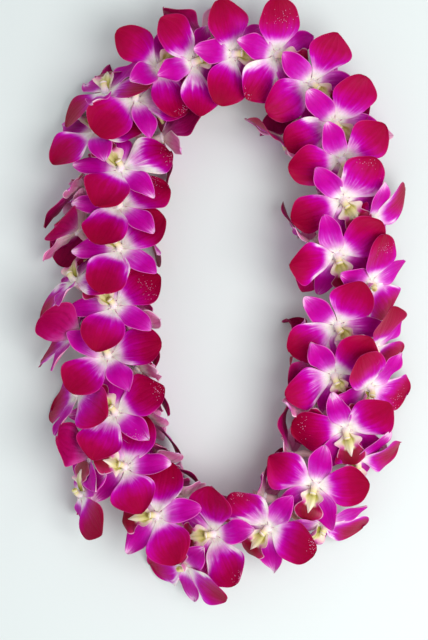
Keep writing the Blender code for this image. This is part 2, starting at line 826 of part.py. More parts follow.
def main():
    """Build the thread and the blossoms."""
    for obj in list(bpy.data.objects):
        bpy.data.objects.remove(obj)
    lei = bpy.data.objects.new("lei", None)
    bpy.context.scene.collection.objects.link(lei)
    orchid = new_material("orchid", (0.55, 0.0, 0.25), 0.5)
    cotton = new_material("cotton", (0.85, 0.83, 0.78), 0.8)
    found = placed_blossoms()
    settle(found)
    middle = Vector((0, 0, THREAD_HEIGHT))
    objects = [new_object("thread", *thread_polygons(THREAD_RADIUS), middle, lei, cotton)]
    for blossom in found:
        name = f"blossom_{blossom['number'] + 1:02d}"
        objects.append(new_object(name, *build_blossom(blossom), blossom["centre"], lei, orchid))
    centre_on_origin(lei, objects)


main()
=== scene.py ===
"""Looks of a fresh flower lei: dendrobium orchids strung on one cotton thread.

The lei lies flat on a table as a long rounded oval. Every blossom of the frame is
replaced by one finely modelled flower in the same place and pose, and the thread by
a twisted one. Where the blossoms sit and how their tepals (petals, sepals and lip)
give way to each other is worked out as in the part itself, about the middle of the
loop, and the result is moved to where the frame's thread lies. Units are metres and
+Z is up.
"""
import bisect
import itertools
import json
import math
import random

import bmesh
import bpy
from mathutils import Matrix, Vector
from mathutils.bvhtree import BVHTree

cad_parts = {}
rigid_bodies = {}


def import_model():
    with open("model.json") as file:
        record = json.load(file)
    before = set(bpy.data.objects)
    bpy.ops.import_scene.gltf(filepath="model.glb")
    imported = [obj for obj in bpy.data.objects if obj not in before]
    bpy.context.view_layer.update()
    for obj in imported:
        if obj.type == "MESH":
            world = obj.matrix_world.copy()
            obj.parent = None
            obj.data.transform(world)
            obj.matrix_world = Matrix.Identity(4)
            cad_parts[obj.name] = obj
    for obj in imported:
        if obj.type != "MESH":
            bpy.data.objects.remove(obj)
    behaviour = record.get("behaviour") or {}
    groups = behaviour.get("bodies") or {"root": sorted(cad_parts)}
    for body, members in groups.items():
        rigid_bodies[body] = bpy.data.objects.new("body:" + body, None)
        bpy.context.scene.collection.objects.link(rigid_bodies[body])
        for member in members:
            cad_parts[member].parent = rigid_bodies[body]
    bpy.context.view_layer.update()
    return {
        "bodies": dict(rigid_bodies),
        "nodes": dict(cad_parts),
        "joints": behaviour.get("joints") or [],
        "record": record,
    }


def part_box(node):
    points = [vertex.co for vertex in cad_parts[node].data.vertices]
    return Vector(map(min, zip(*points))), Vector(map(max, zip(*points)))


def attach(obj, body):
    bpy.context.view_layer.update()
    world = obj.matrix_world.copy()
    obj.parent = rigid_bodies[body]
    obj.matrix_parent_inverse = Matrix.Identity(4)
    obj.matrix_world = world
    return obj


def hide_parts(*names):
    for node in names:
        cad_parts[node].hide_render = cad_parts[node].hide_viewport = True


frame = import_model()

MM = 0.001
UP = Vector((0, 0, 1))

# ---- the loop of thread ----
LOOP_HALF_WIDTH = 85 * MM
LOOP_HALF_LENGTH = 167 * MM
LOOP_SQUARENESS = 2.45
LOOP_SAMPLES = 1440
TANGENT_REACH = 6
THREAD_HEIGHT = 23 * MM
THREAD_RADIUS = 0.6 * MM
THREAD_SIDES = 6
THREAD_POINTS = 140

# ---- one blossom: the hub, and the column in front of it ----
HUB_RADIUS = 3.8 * MM
HUB_CORNER = 1.12 * HUB_RADIUS
COLUMN_HEIGHT = 7.5 * MM
COLUMN_NOD = 1.5 * MM

# ---- one blossom: its tepals ----
# Each tepal: angle round the hub from the dorsal sepal, length, widest half width,
# where it is widest, rise out of the flower's face at its root and its curl to the
# tip, both in degrees, and how far its edges turn forward.
PETAL = dict(length=35.5 * MM, half=14.6 * MM, widest=0.60, rise=14, curl=-24, cup=0.10)
LATERAL_SEPAL = dict(length=30 * MM, half=7.4 * MM, widest=0.50, rise=2, curl=-16, cup=0.12)
DORSAL_SEPAL = dict(length=30 * MM, half=7.2 * MM, widest=0.52, rise=12, curl=-20, cup=0.12)
LIP = dict(length=23 * MM, half=9.5 * MM, widest=0.55, rise=42, curl=-80, cup=0.25)
TEPALS = {
    "dorsal": dict(turn=0, **DORSAL_SEPAL),
    "petal_left": dict(turn=70, **PETAL),
    "lateral_left": dict(turn=139, **LATERAL_SEPAL),
    "lip": dict(turn=180, **LIP),
    "lateral_right": dict(turn=-139, **LATERAL_SEPAL),
    "petal_right": dict(turn=-70, **PETAL),
}
SETTLE_ORDER = ["petal_left", "petal_right", "dorsal", "lateral_left", "lateral_right", "lip"]
TEPAL_THICKNESS = 1.0 * MM
ROOT_HALF_WIDTH = 1.9 * MM
TIP_BLUNTNESS = 0.8
STUNTED_WIDTH = 0.6
SPINE_STEPS = 12
PETAL_SECTIONS = (4, 8, 11)
SEPAL_SECTIONS = (5, 9)
TABLE_LEVEL = TEPAL_THICKNESS / 2
LEVEL_SLOPE = 0.999
LEVEL_TOUCH = 0.01 * MM
LEAST_HEADING = 0.2

# ---- one blossom: the spur, its eyelet for the thread, and the flower stalk ----
SPUR_LENGTH = 11 * MM
SPUR_RADIUS = 2.1 * MM
EYELET_RADIUS = 2.7 * MM
EYELET_LENGTH = 5 * MM
STALK_LENGTH = 15 * MM
STALK_RADIUS = 1.3 * MM
STALK_START = 0.86 * EYELET_RADIUS
STALK_SWEEP = -0.35
STALK_BEND = 0.6
STALK_LEVEL = STALK_RADIUS + 0.6 * MM
STALK_SWINGS = (0.5, 0.1, 0.9, -0.4, -0.9, 1.4, -1.4)

# ---- where the blossoms sit ----
# Upper row, clockwise from the top left: place of the flower's centre (x, y) in
# millimetres, the heading of its dorsal sepal seen from above, counter-clockwise from
# +X, how far its face leans forward and how far it rolls outward, in degrees.
UPPER_ROW = [
    (-46, 165, 215, 30, 0),
    (-22, 168, 205, 34, 0),
    (6, 174, 180, 32, 0),
    (36, 174, 165, 30, 0),
    (61, 154, 140, 32, 0),
    (77, 126, 135, 30, 0),
    (82, 100, 117, 34, 0),
    (83, 72, 134, 32, 0),
    (79, 33, 111, 28, 0),
    (103, 14, 35, 26, 48),
    (79, -16, 140, 28, 0),
    (77, -51, 126, 32, 0),
    (102, -60, 50, 26, 44),
    (85, -89, 112, 32, 0),
    (63, -128, 79, 26, 0),
    (30, -158, 56, 30, 0),
    (-8, -162, 11, 30, 0),
    (-28, -186, -75, 26, 52),
    (-48, -149, 12, 26, 0),
    (-70, -115, 5, 32, 0),
    (-101, -135, -105, 26, 55),
    (-77, -77, -37, 30, 0),
    (-82, -37, -58, 32, 0),
    (-78, -2, -33, 30, 0),
    (-74, 38, -35, 30, 0),
    (-74, 68, -39, 34, 0),
    (-73, 94, -42, 32, 0),
    (-91, 121, -70, 30, 30),
    (-84, 149, -100, 28, 50),
    (-63, 143, -70, 32, 0),
]
UPPER_HEIGHT = 39.5 * MM
HEIGHT_SWAY = 1.5 * MM
ROLL_DROP = 0.14 * MM
# Side blossoms sit in the gaps of the upper row: how many, which way they look (from
# straight up, outward positive), how far they are lifted, how far along the gap, and
# the least and most room of the gaps they take.
SIDE_GROUPS = [
    dict(count=8, side=56, lift=7 * MM, share=0.4, least=34 * MM, most=60 * MM, keep_rolled=False),
    dict(count=7, side=96, lift=-3 * MM, share=0.35, least=0, most=34 * MM, keep_rolled=True),
    dict(count=13, side=-98, lift=0, share=0.7, least=27.5 * MM, most=60 * MM, keep_rolled=True),
]
SIDE_REACH = 13 * MM
SIDE_SWAY = 12
SIDE_LEAN = 34
LEAN_SWAY = 6
SIDE_SPINS = (0, 18, -18, 36, -36, 60, -60)
EYELET_SPACING = 7.5 * MM
SPACING_ROUNDS = 60
SEED = 21

# ---- how tepals give way to each other ----
# A pose adds to a tepal's own rise, turn and curl, in degrees, and scales its length.
# Its cost grows with each, and the tepal takes the cheapest that has room.
CLEARANCE = 0.25 * MM
REACH_OUT = 50 * MM
REACH_IN = 41 * MM
TOP_HEIGHT = 65 * MM
TEPAL_REACH = 45 * MM
RISE_STEPS = (0, 8, -8, 16, -16, 25, -25, 35, -35, 48, -48, 62, -62)
TURN_STEPS = (0, 8, -8, 16, -16, 24, -24)
CURL_STEPS = (0, 18, -18, 40, -40)
SCALES = (1.0, 0.85, 0.7, 0.5, 0.3)
RISE_EASE = 30
TURN_EASE = 16
CURL_EASE = 40
SCALE_COST = 12
NO_ROOM = math.inf
# The blossom's core, as a row of prisms a little larger than the core itself.
CORE_SIDES = 6
CORE_HALF = 0.8 * MM
CORE_TIP = 0.6 * MM
CORE_RADIUS = 1.2 * HUB_RADIUS + CLEARANCE
CORE_SPUR = 1.5 * SPUR_RADIUS + CLEARANCE
CORE_STALK = (
    EYELET_RADIUS + CLEARANCE,
    1.6 * STALK_RADIUS + CLEARANCE,
    1.4 * STALK_RADIUS + CLEARANCE,
)
STEEP = 0.8


def swung(first, second, angle):
    """The direction at an angle from a first one towards a second."""
    return first * math.cos(angle) + second * math.sin(angle)


def ring_of(centre, first, second, radius, sides):
    """Points of a ring round a centre, from a first direction towards a second."""
    turns = (2 * math.pi * i / sides for i in range(sides))
    return [centre + swung(first, second, turn) * radius for turn in turns]


def bands(count, sides, closed):
    """Faces between rings of points that follow each other."""
    found = []
    for k in range(count if closed else count - 1):
        a, b = k * sides, (k + 1) % count * sides
        for i in range(sides):
            j = (i + 1) % sides
            found.append((a + i, a + j, b + j, b + i))
    return found


# ---- the loop ----
def loop_table():
    """Points of the oval seen from above, clockwise from the top, with their arc length."""
    points = []
    for i in range(LOOP_SAMPLES):
        angle = math.pi / 2 - 2 * math.pi * i / LOOP_SAMPLES
        c, s = math.cos(angle), math.sin(angle)
        power = 2 / LOOP_SQUARENESS
        x = LOOP_HALF_WIDTH * math.copysign(abs(c) ** power, c)
        y = LOOP_HALF_LENGTH * math.copysign(abs(s) ** power, s)
        points.append(Vector((x, y, THREAD_HEIGHT)))
    lengths = [0.0]
    for i in range(LOOP_SAMPLES):
        step = (points[(i + 1) % LOOP_SAMPLES] - points[i]).length
        lengths.append(lengths[-1] + step)
    return points, lengths


LOOP_POINTS, LOOP_LENGTHS = loop_table()
LOOP_LENGTH = LOOP_LENGTHS[-1]


def loop_at(s):
    """Point, clockwise tangent and outward normal at arc length s."""
    s = s % LOOP_LENGTH
    low = bisect.bisect(LOOP_LENGTHS, s, 0, LOOP_SAMPLES) - 1
    a = LOOP_POINTS[low]
    b = LOOP_POINTS[(low + 1) % LOOP_SAMPLES]
    share = (s - LOOP_LENGTHS[low]) / (LOOP_LENGTHS[low + 1] - LOOP_LENGTHS[low])
    before = LOOP_POINTS[(low - TANGENT_REACH) % LOOP_SAMPLES]
    after = LOOP_POINTS[(low + 1 + TANGENT_REACH) % LOOP_SAMPLES]
    tangent = (after - before).normalized()
    normal = Vector((-tangent.y, tangent.x, 0))
    return a.lerp(b, share), tangent, normal


def nearest_station(point):
    """Arc length of the loop's point nearest to a point, seen from above."""
    best = min(range(LOOP_SAMPLES), key=lambda i: (LOOP_POINTS[i].xy - point.xy).length_squared)
    return LOOP_LENGTHS[best]


def thread_polygons(radius):
    """The thread as a closed ring of points and polygons."""
    points = []
    for k in range(THREAD_POINTS):
        centre, _, normal = loop_at(LOOP_LENGTH * k / THREAD_POINTS)
        points += ring_of(centre, normal, UP, radius, THREAD_SIDES)
    return points, bands(THREAD_POINTS, THREAD_SIDES, closed=True)


# ---- where the blossoms sit ----
def facing(tangent, normal, roll, lean):
    """The way a flower faces: up, rolled outward and then leaned forward, in degrees."""
    return swung(swung(UP, normal, math.radians(roll)), tangent, math.radians(lean))


def make_blossom(centre, dorsal_hint, face, spins=(0,)):
    """The frame of one blossom, the bend of its spur, and what settling it will find."""
    face = face.normalized()
    dorsal = (dorsal_hint - face * dorsal_hint.dot(face)).normalized()
    bend = centre - face * SPUR_LENGTH
    return dict(
        centre=centre, face=face, dorsal=dorsal, side=face.cross(dorsal), bend=bend,
        station=nearest_station(bend), spins=spins, poses={}, beyond=[], placed=[],
    )


def upper_blossoms(rng):
    """The blossoms that look up, in the order of the table."""
    found = []
    for x, y, heading, lean, roll in UPPER_ROW:
        height = UPPER_HEIGHT - ROLL_DROP * roll + rng.uniform(-1, 1) * HEIGHT_SWAY
        centre = Vector((x * MM, y * MM, height))
        _, tangent, normal = loop_at(nearest_station(centre))
        face = facing(tangent, normal, roll, lean)
        flat = swung(Vector((1, 0, 0)), Vector((0, 1, 0)), math.radians(heading))
        hint = flat + Vector((0, 0, -flat.dot(face) / face.z))
        blossom = make_blossom(centre, hint, face)
        blossom["rolled"] = roll > 0
        found.append(blossom)
    return found


def upper_gaps(upper, group):
    """Start and room of the gaps of the upper row that a group of side blossoms takes."""
    stations = sorted(b["station"] for b in upper if not b["rolled"])
    rolled = [b["station"] for b in upper if b["rolled"]]
    found = []
    for i, first in enumerate(stations):
        room = (stations[(i + 1) % len(stations)] - first) % LOOP_LENGTH
        filled = any((r - first) % LOOP_LENGTH < room for r in rolled)
        if group["least"] <= room < group["most"] and (group["keep_rolled"] or not filled):
            found.append((first, room))
    return found


def side_blossoms(group, upper, rng):
    """Blossoms that look out to one side of the loop, spread over gaps of the upper row."""
    found = []
    gaps = upper_gaps(upper, group)
    sign = math.copysign(1, group["side"])
    for k in range(group["count"]):
        first, room = gaps[int(len(gaps) * (k + 0.5) / group["count"])]
        point, tangent, normal = loop_at(first + room * group["share"])
        roll = group["side"] + rng.uniform(-SIDE_SWAY, SIDE_SWAY)
        lean = SIDE_LEAN + rng.uniform(-LEAN_SWAY, LEAN_SWAY)
        face = facing(tangent, normal, roll, lean)
        centre = point + normal * sign * SIDE_REACH + face * SPUR_LENGTH
        centre.z += group["lift"]
        found.append(make_blossom(centre, -tangent, face, SIDE_SPINS))
    return found


def thread_blossoms(found):
    """Space the blossoms along the thread and set where it runs through each spur."""
    order = sorted(found, key=lambda blossom: blossom["station"])
    for _ in range(SPACING_ROUNDS):
        for i, blossom in enumerate(order):
            after = order[(i + 1) % len(order)]
            gap = (after["station"] - blossom["station"]) % LOOP_LENGTH
            if gap > LOOP_LENGTH / 2:
                gap -= LOOP_LENGTH
            if gap < EYELET_SPACING:
                push = (EYELET_SPACING - gap) / 2
                blossom["station"] -= push
                after["station"] += push
    for number, blossom in enumerate(found):
        eyelet, tangent, normal = loop_at(blossom["station"])
        away = eyelet - blossom["bend"]
        away = (away - tangent * away.dot(tangent)).normalized()
        blossom.update(number=number, eyelet=eyelet, tangent=tangent, normal=normal, away=away)


def placed_blossoms():
    """All the blossoms on their thread, the upper row first."""
    rng = random.Random(SEED)
    upper = upper_blossoms(rng)
    found = list(upper)
    for group in SIDE_GROUPS:
        found += side_blossoms(group, upper, rng)
    thread_blossoms(found)
    return found


# ---- the shape of a blossom ----
def half_width(tepal, t):
    """Half width of a tepal at a share t of its length."""
    power = math.log(0.5) / math.log(tepal["widest"])
    swell = max(0.0, math.sin(math.pi * t ** power)) ** TIP_BLUNTNESS
    return ROOT_HALF_WIDTH * (1 - t) + tepal["half"] * swell


def kept_width(scale):
    """Share of its width that a tepal keeps when its length is scaled."""
    return STUNTED_WIDTH + (1 - STUNTED_WIDTH) * scale


def outward(blossom, degrees):
    """Direction in the blossom's plane at an angle round the hub from the dorsal sepal."""
    return swung(blossom["dorsal"], blossom["side"], math.radians(degrees))


def level_frame(ahead, spare, across, front):
    """The frame of a tepal that lies flat on the table, heading where it was going."""
    heading = Vector((ahead.x, ahead.y, 0))
    if heading.length < LEAST_HEADING:
        heading = Vector((spare.x, spare.y, 0))
    heading.normalize()
    up = Vector((0, 0, 1 if front.z >= 0 else -1))
    sideways = up.cross(heading)
    if sideways.dot(across) < 0:
        sideways = -sideways
    return heading, sideways, up


def spine(blossom, tepal, pose):
    """Points and frames along the middle of a tepal, bent flat where it meets the table."""
    along = outward(blossom, tepal["turn"] + pose["turn"])
    across = outward(blossom, tepal["turn"] + pose["turn"] + 90)
    face = blossom["face"]
    step = tepal["length"] * pose["scale"] / SPINE_STEPS
    point = blossom["centre"] + outward(blossom, tepal["turn"]) * HUB_RADIUS
    frames = []
    level = None
    for i in range(SPINE_STEPS + 1):
        t = i / SPINE_STEPS
        if level is None:
            lift = math.radians(tepal["rise"] + pose["rise"] + (tepal["curl"] + pose["curl"]) * t)
            ahead = swung(along, face, lift)
            front = swung(face, -along, lift)
            frames.append((point.copy(), ahead, across, front, t))
            if point.z + ahead.z * step < TABLE_LEVEL:
                level = level_frame(ahead, along + face, across, front)
        else:
            frames.append((point.copy(), *level, t))
        point = point + (ahead if level is None else level[0]) * step
        if level is not None:
            point.z = TABLE_LEVEL
    return frames


def sections(blossom, name, pose):
    """Cross-sections of a tepal after its root (right, middle, left, front) and its tip."""
    tepal = TEPALS[name]
    frames = spine(blossom, tepal, pose)
    found = []
    for index in PETAL_SECTIONS if name.startswith("petal") else SEPAL_SECTIONS:
        middle, _, across, front, t = frames[index]
        wide = half_width(tepal, t) * kept_width(pose["scale"])
        edge = front * tepal["cup"] * wide
        right = middle - across * wide + edge
        left = middle + across * wide + edge
        lies_flat = abs(front.z) > LEVEL_SLOPE and middle.z < TABLE_LEVEL + LEVEL_TOUCH
        for side in (right, left):
            side.z = 0.0 if lies_flat else max(side.z, 0.0)
        found.append((right, middle, left, front))
    tip = frames[-1][0].copy()
    if found[-1][0].z == 0 and found[-1][2].z == 0 and tip.z < TABLE_LEVEL + LEVEL_TOUCH:
        tip.z = 0.0
    return found, tip


def hub_corner(blossom, i):
    """The hub's corner between tepal i and the next one round the hub."""
    names = list(TEPALS)
    turn = TEPALS[names[i]]["turn"]
    gap = (TEPALS[names[(i + 1) % len(names)]]["turn"] - turn) % 360
    return blossom["centre"] + outward(blossom, turn + gap / 2) * HUB_CORNER


def column_tip(blossom, extra=0.0):
    """The tip of the column, which nods towards the lip."""
    height = blossom["face"] * (COLUMN_HEIGHT + extra)
    return blossom["centre"] + height - blossom["dorsal"] * COLUMN_NOD


def stalk_path(blossom, swing):
    """Centre points of the flower stalk, from the spur to its cut end."""
    away = blossom["away"]
    lean = blossom["tangent"] * STALK_SWEEP + blossom["tangent"].cross(away) * swing
    points = [blossom["eyelet"] + away * STALK_START]
    for k in (1, 2):
        heading = (away + lean * (STALK_BEND * k)).normalized()
        ahead = points[-1] + heading * STALK_LENGTH / 2
        ahead.z = max(ahead.z, STALK_LEVEL)
        points.append(ahead)
    return points


# ---- settling the tepals ----
def bounds_of(points):
    """Lowest and highest corner of a set of points."""
    return [Vector([pick(p[i] for p in points) for i in range(3)]) for pick in (min, max)]


def boxes_meet(a, b):
    """Whether two boxes meet."""
    return all(a[0][i] <= b[1][i] and b[0][i] <= a[1][i] for i in range(3))


def placed_shape(owner, points, polygons):
    """A shape that later tepals keep clear of."""
    return dict(owner=owner, box=bounds_of(points), tree=BVHTree.FromPolygons(points, polygons))


def touches(shape, others):
    """Whether a placed shape touches any of some others."""
    box, tree = shape["box"], shape["tree"]
    return any(boxes_meet(box, e["box"]) and tree.overlap(e["tree"]) for e in others)


def near_to(blossom, placed):
    """The placed shapes that a blossom's tepals can reach, other than its own."""
    reach = Vector((1, 1, 1)) * TEPAL_REACH
    box = blossom["centre"] - reach, blossom["centre"] + reach
    return [e for e in placed if e["owner"] != blossom["number"] and boxes_meet(box, e["box"])]


# Points to a slab's cross-section, front and back by turns; its root is the first section.
SECTION = 6


def slab(blossom, name, pose):
    """Closed slab of a tepal with clearance all round."""
    found, tip = sections(blossom, name, pose)
    i = list(TEPALS).index(name)
    root = blossom["centre"] + outward(blossom, TEPALS[name]["turn"]) * HUB_RADIUS
    rows = [(hub_corner(blossom, i - 1), root, hub_corner(blossom, i), blossom["face"])] + found
    wide = (rows[-1][2] - rows[-1][0]).normalized() * CLEARANCE * 2
    rows.append((tip - wide, tip, tip + wide, rows[-1][3]))
    half = TEPAL_THICKNESS / 2 + CLEARANCE
    points = []
    for right, middle, left, front in rows:
        margin = (left - right).normalized() * CLEARANCE
        for q in (right - margin, middle, left + margin):
            points.append(q + front * half)
            points.append(q - front * half)
    polygons = []
    for r in range(len(rows) - 1):
        a, b = SECTION * r, SECTION * (r + 1)
        polygons += [(a, a + 2, b + 2, b), (a + 2, a + 4, b + 4, b + 2)]
        polygons += [(a + 1, b + 1, b + 3, a + 3), (a + 3, b + 3, b + 5, a + 5)]
        polygons += [(a, b, b + 1, a + 1), (a + 4, a + 5, b + 5, b + 4)]
    last = SECTION * (len(rows) - 1)
    polygons += [(last, last + 2, last + 3, last + 1), (last + 2, last + 4, last + 5, last + 3)]
    return points, polygons


def within_limits(points, blossom):
    """Whether the points stay in the lei's own cross-section, from side to side and in height."""
    for q in points:
        out = (q - blossom["eyelet"]).dot(blossom["normal"])
        if out > REACH_OUT or out < -REACH_IN or q.z > TOP_HEIGHT:
            return False
    return True


def prism(path, radii):
    """Closed prism along a path, one radius for each point of it."""
    points = []
    last = len(path) - 1
    for k, centre in enumerate(path):
        heading = (path[min(k + 1, last)] - path[max(k - 1, 0)]).normalized()
        helper = UP if abs(heading.z) < STEEP else Vector((1, 0, 0))
        a = heading.cross(helper).normalized()
        points += ring_of(centre, a, heading.cross(a), radii[k], CORE_SIDES)
    ends = [tuple(k * CORE_SIDES + i for i in range(CORE_SIDES)) for k in (0, last)]
    return points, bands(len(path), CORE_SIDES, closed=False) + ends


def core_prisms(blossom):
    """The blossom without its tepals, a little larger, as three prisms in one shape."""
    centre, face, eyelet = blossom["centre"], blossom["face"], blossom["eyelet"]
    half = face * CORE_HALF
    body = [column_tip(blossom, CLEARANCE), centre + half, centre - half, blossom["bend"], eyelet]
    body_radii = [CORE_TIP, CORE_RADIUS, CORE_RADIUS, CORE_SPUR, CORE_STALK[0]]
    end = blossom["tangent"] * (EYELET_LENGTH / 2 + CLEARANCE)
    points, polygons = [], []
    for path, radii in (
        (body, body_radii),
        ([eyelet - end, eyelet + end], [EYELET_RADIUS + CLEARANCE] * 2),
        (stalk_path(blossom, blossom["swing"]), CORE_STALK),
    ):
        first = len(points)
        more, faces = prism(path, radii)
        points += more
        polygons += [tuple(first + i for i in face) for face in faces]
    return points, polygons


def pose_choices():
    """Ways to move a tepal out of the way with their costs, the gentlest first."""
    choices = []
    for scale, rise, turn, curl in itertools.product(SCALES, RISE_STEPS, TURN_STEPS, CURL_STEPS):
        bent = (rise / RISE_EASE) ** 2 + (turn / TURN_EASE) ** 2 + (curl / CURL_EASE) ** 2
        pose = dict(rise=rise, turn=turn, curl=curl, scale=scale)
        choices.append((bent + SCALE_COST * (1 - scale), pose))
    choices.sort(key=lambda item: item[0])
    return choices


def settle_core(blossom, placed):
    """Swing the flower stalk clear of the other blossoms' cores."""
    others = [e for e in placed if e["owner"] is not None]
    for swing in STALK_SWINGS:
        blossom["swing"] = swing
        shape = placed_shape(blossom["number"], *core_prisms(blossom))
        if not touches(shape, others):
            placed.append(shape)
            return
    raise ValueError(f"blossom {blossom['number'] + 1} has no room on the thread")


def settle_tepal(blossom, name, near, choices, ceiling):
    """Pose one tepal clear of what is near; returns what it costs, at most the ceiling."""
    for cost, pose in choices:
        if cost > ceiling:
            break
        points, polygons = slab(blossom, name, pose)
        if not within_limits(points, blossom):
            continue
        shape = placed_shape(blossom["number"], points, polygons)
        if touches(shape, near):
            continue
        # Its own blossom's other tepals share its root, so it is tested without that.
        rootless = [polygon for polygon in polygons if min(polygon) >= SECTION]
        beyond = BVHTree.FromPolygons(points, rootless)
        if any(beyond.overlap(e) for e in blossom["beyond"]):
            continue
        blossom["poses"][name] = pose
        blossom["beyond"].append(beyond)
        blossom["placed"].append(shape)
        return cost
    return NO_ROOM


def spun(blossom, degrees):
    """A copy of a blossom turned in its own plane."""
    trial = dict(blossom)
    trial["dorsal"] = outward(blossom, degrees)
    trial["side"] = outward(blossom, degrees + 90)
    trial.update(poses={}, beyond=[], placed=[])
    return trial


def settle_spun(blossom, near, choices):
    """Settle a blossom's tepals, turned in its own plane to where that is the cheapest."""
    best, chosen = NO_ROOM, None
    for spin in blossom["spins"]:
        trial = spun(blossom, spin)
        total = 0
        for name in SETTLE_ORDER:
            total += settle_tepal(trial, name, near, choices, best - total)
            if total >= best:
                break
        if total < best:
            best, chosen = total, trial
    if chosen is None:
        raise ValueError(f"blossom {blossom['number'] + 1} has no room for its tepals")
    blossom.update(chosen)


def settle(found):
    """Give every tepal a pose in which it touches nothing, the upper row's first."""
    choices = pose_choices()
    placed = [placed_shape(None, *thread_polygons(THREAD_RADIUS + CLEARANCE))]
    for blossom in found:
        settle_core(blossom, placed)
    fixed = [b for b in found if len(b["spins"]) == 1]
    for name in SETTLE_ORDER:
        for blossom in fixed:
            cost = settle_tepal(blossom, name, near_to(blossom, placed), choices, NO_ROOM)
            if cost == NO_ROOM:
                raise ValueError(f"blossom {blossom['number'] + 1} has no room for its {name}")
            placed.append(blossom["placed"][-1])
    for blossom in found:
        if blossom not in fixed:
            settle_spun(blossom, near_to(blossom, placed), choices)
            placed += blossom["placed"]


# ---- fine surfaces of the flowers ----
# A blade is a petal, sepal, lip or callus: rows of points from its root to its tip, closer
# together towards the tip, thinner towards the edges and the tip.
BLADE_ROWS = 24
LIP_ROWS = 28
ROW_CROWDING = 0.6
BLADE_COLUMNS = 12
LIP_COLUMNS = 16
CALLUS_COLUMNS = 8
BLADE_THICKNESS = 0.5 * MM
CALLUS_THICKNESS = 0.7 * MM
EDGE_THINNING = 0.45
TIP_THINNING = 0.4
RIM_REACH = 0.4
LOWEST_MIDDLE = 0.3 * MM
LOWEST = 0.05 * MM
INNER_ROOT = 1.4 * MM
INNER_SHARE = -0.05
LEAST_HALF = 0.12 * MM
# Petals and sepals: how blunt they are, and how far one differs from the next. RIPPLE is
# the margin's, FOLD the crease over the whole blade, and the lists are random ranges.
BLUNTNESS = {"petal": (0.54, 0.84), "sepal": (0.6, 0.86)}
WIDEST_SWAY = 0.03
MIDRIB_DEPTH = 0.35 * MM
MIDRIB_WIDTH = 1.3 * MM
RIPPLE = 1.1 * MM
RIPPLE_SHARES = (0.5, 1.5)
RIPPLE_WAVES = (1.0, 1.9)
FOLD = 1.3 * MM
FOLD_TURNS = (2.2, 4.5)
PUCKER = 0.14
PUCKER_TURNS = (11, 5)
SKEW = 0.10
NOTCH = (0.04, 0.10)
NOTCH_TURNS = 9
TIP_CURL = (-1.2, 0.8)
FULLNESS = 1.04
GROWTH = 3
TEPAL_SEED = SEED * 100
# The lip: half widths of its parts and where they lie, and how far its margins turn
# forward, in degrees, in the throat and on the lobe. The callus lies on it.
LIP_ROOT = 2.6 * MM
LIP_LEAST = 0.15 * MM
SIDE_LOBE = 8.2 * MM
SIDE_LOBE_PLACE = 0.27
SIDE_LOBE_SPREAD = 0.17
LIP_WAIST = 0.40
MID_LOBE = 9.6 * MM
MID_LOBE_POWERS = (1.1, 0.6)
THROAT_ROLL = 66
LOBE_ROLL = -14
ROLL_CHANGE = (0.38, 0.24)
ROLL_AT_ROOT = 0.45
LIP_ROLLS = (1.0, 0.75, 0.5, 0.25)
LIP_RIPPLE = 0.6 * MM
LIP_WAVES = 3.5
STRAIGHT = 1e-6
CALLUS_LENGTH = 0.72
CALLUS_ROOT = 1.3
CALLUS_SWELL = 2.3
CALLUS_TURN = (0.7, 0.08)
CALLUS_TIP = (2.2, 0.02, 0.7)
CALLUS_LEVEL = 0.4
CALLUS_RISE = 0.35 * MM
CALLUS_RIDGES = 0.55 * MM
CALLUS_ARCH = 0.9 * MM
# Tubes: the sides of each, the points between corners of its path, and how flat it is.
TUBE_SIDES = 10
BOSS_SIDES = 16
LEAST_HELPER = 0.1
COLUMN_STEPS = 5
STALK_STEPS = 6
COLUMN_SQUASH = 0.8
CAP_SQUASH = 0.9
# In millimetres: the column's path, as heights over the flower's middle and reaches along
# its dorsal sepal, and its radii; the reaches and radii of its end; its anther cap; the
# boss, as heights and radii; and the radii of the spur and stalk, the last two at the cut.
COLUMN_PATH = ((-0.6, 0), (2.0, 0.2), (4.2, -0.8), (5.6, -2.7))
COLUMN_RADII = (3.3, 2.6, 2.3, 2.4)
COLUMN_END = ((0.45, 2.1), (0.8, 1.4), (0.95, 0.5))
CAP_RADII = (0.5, 1.7, 2.35, 2.5, 2.3, 1.6, 0.4)
CAP_START = 1.0
CAP_STEP = 0.45
CAP_LIFT = 0.35
BOSS = ((-3.0, 2.0), (-2.4, 3.4), (-1.2, 4.3), (-0.3, 4.1), (0.3, 3.0), (0.6, 1.4))
STALK_RADII = (3.4, 2.5, 2.1, 1.35, 1.25)
STALK_CUT = (1.4, 1.15)
STALK_INSET = 2.0 * MM
CUT_LENGTH = 0.25 * MM
# Dew: on which flowers and petals it lies, how many drops, and a drop's size and profile.
DEW_SEED = 700
DEWY_TILT = 0.6
DEWY_SHARE = 0.6
WET_SHARE = {"petal": 0.45, "dorsa": 0.2, "later": 0.15}
DEW_ROWS = (0.45, 0.8)
DEW_COLUMNS = (0.25, 0.75)
DEW_SPREAD = (0.08, 0.14)
DROPS = (20, 44)
DROP_SIZES = (0.16, 0.38)
DROP_SIDES = 6
DROP_PROFILE = ((-0.15, 1.0), (0.3, 0.9), (0.62, 0.5))
DROP_TOP = 0.72
LOOKS = (
    "petal_front", "petal_back", "sepal_front", "sepal_back", "lip_front", "lip_back",
    "callus", "column", "boss", "stalk", "dew",
)


def in_mm(values):
    """Lengths in metres from millimetres."""
    return [value * MM for value in values]


def smoothed(share):
    """A share from 0 to 1, eased at both ends."""
    return share * share * (3 - 2 * share)


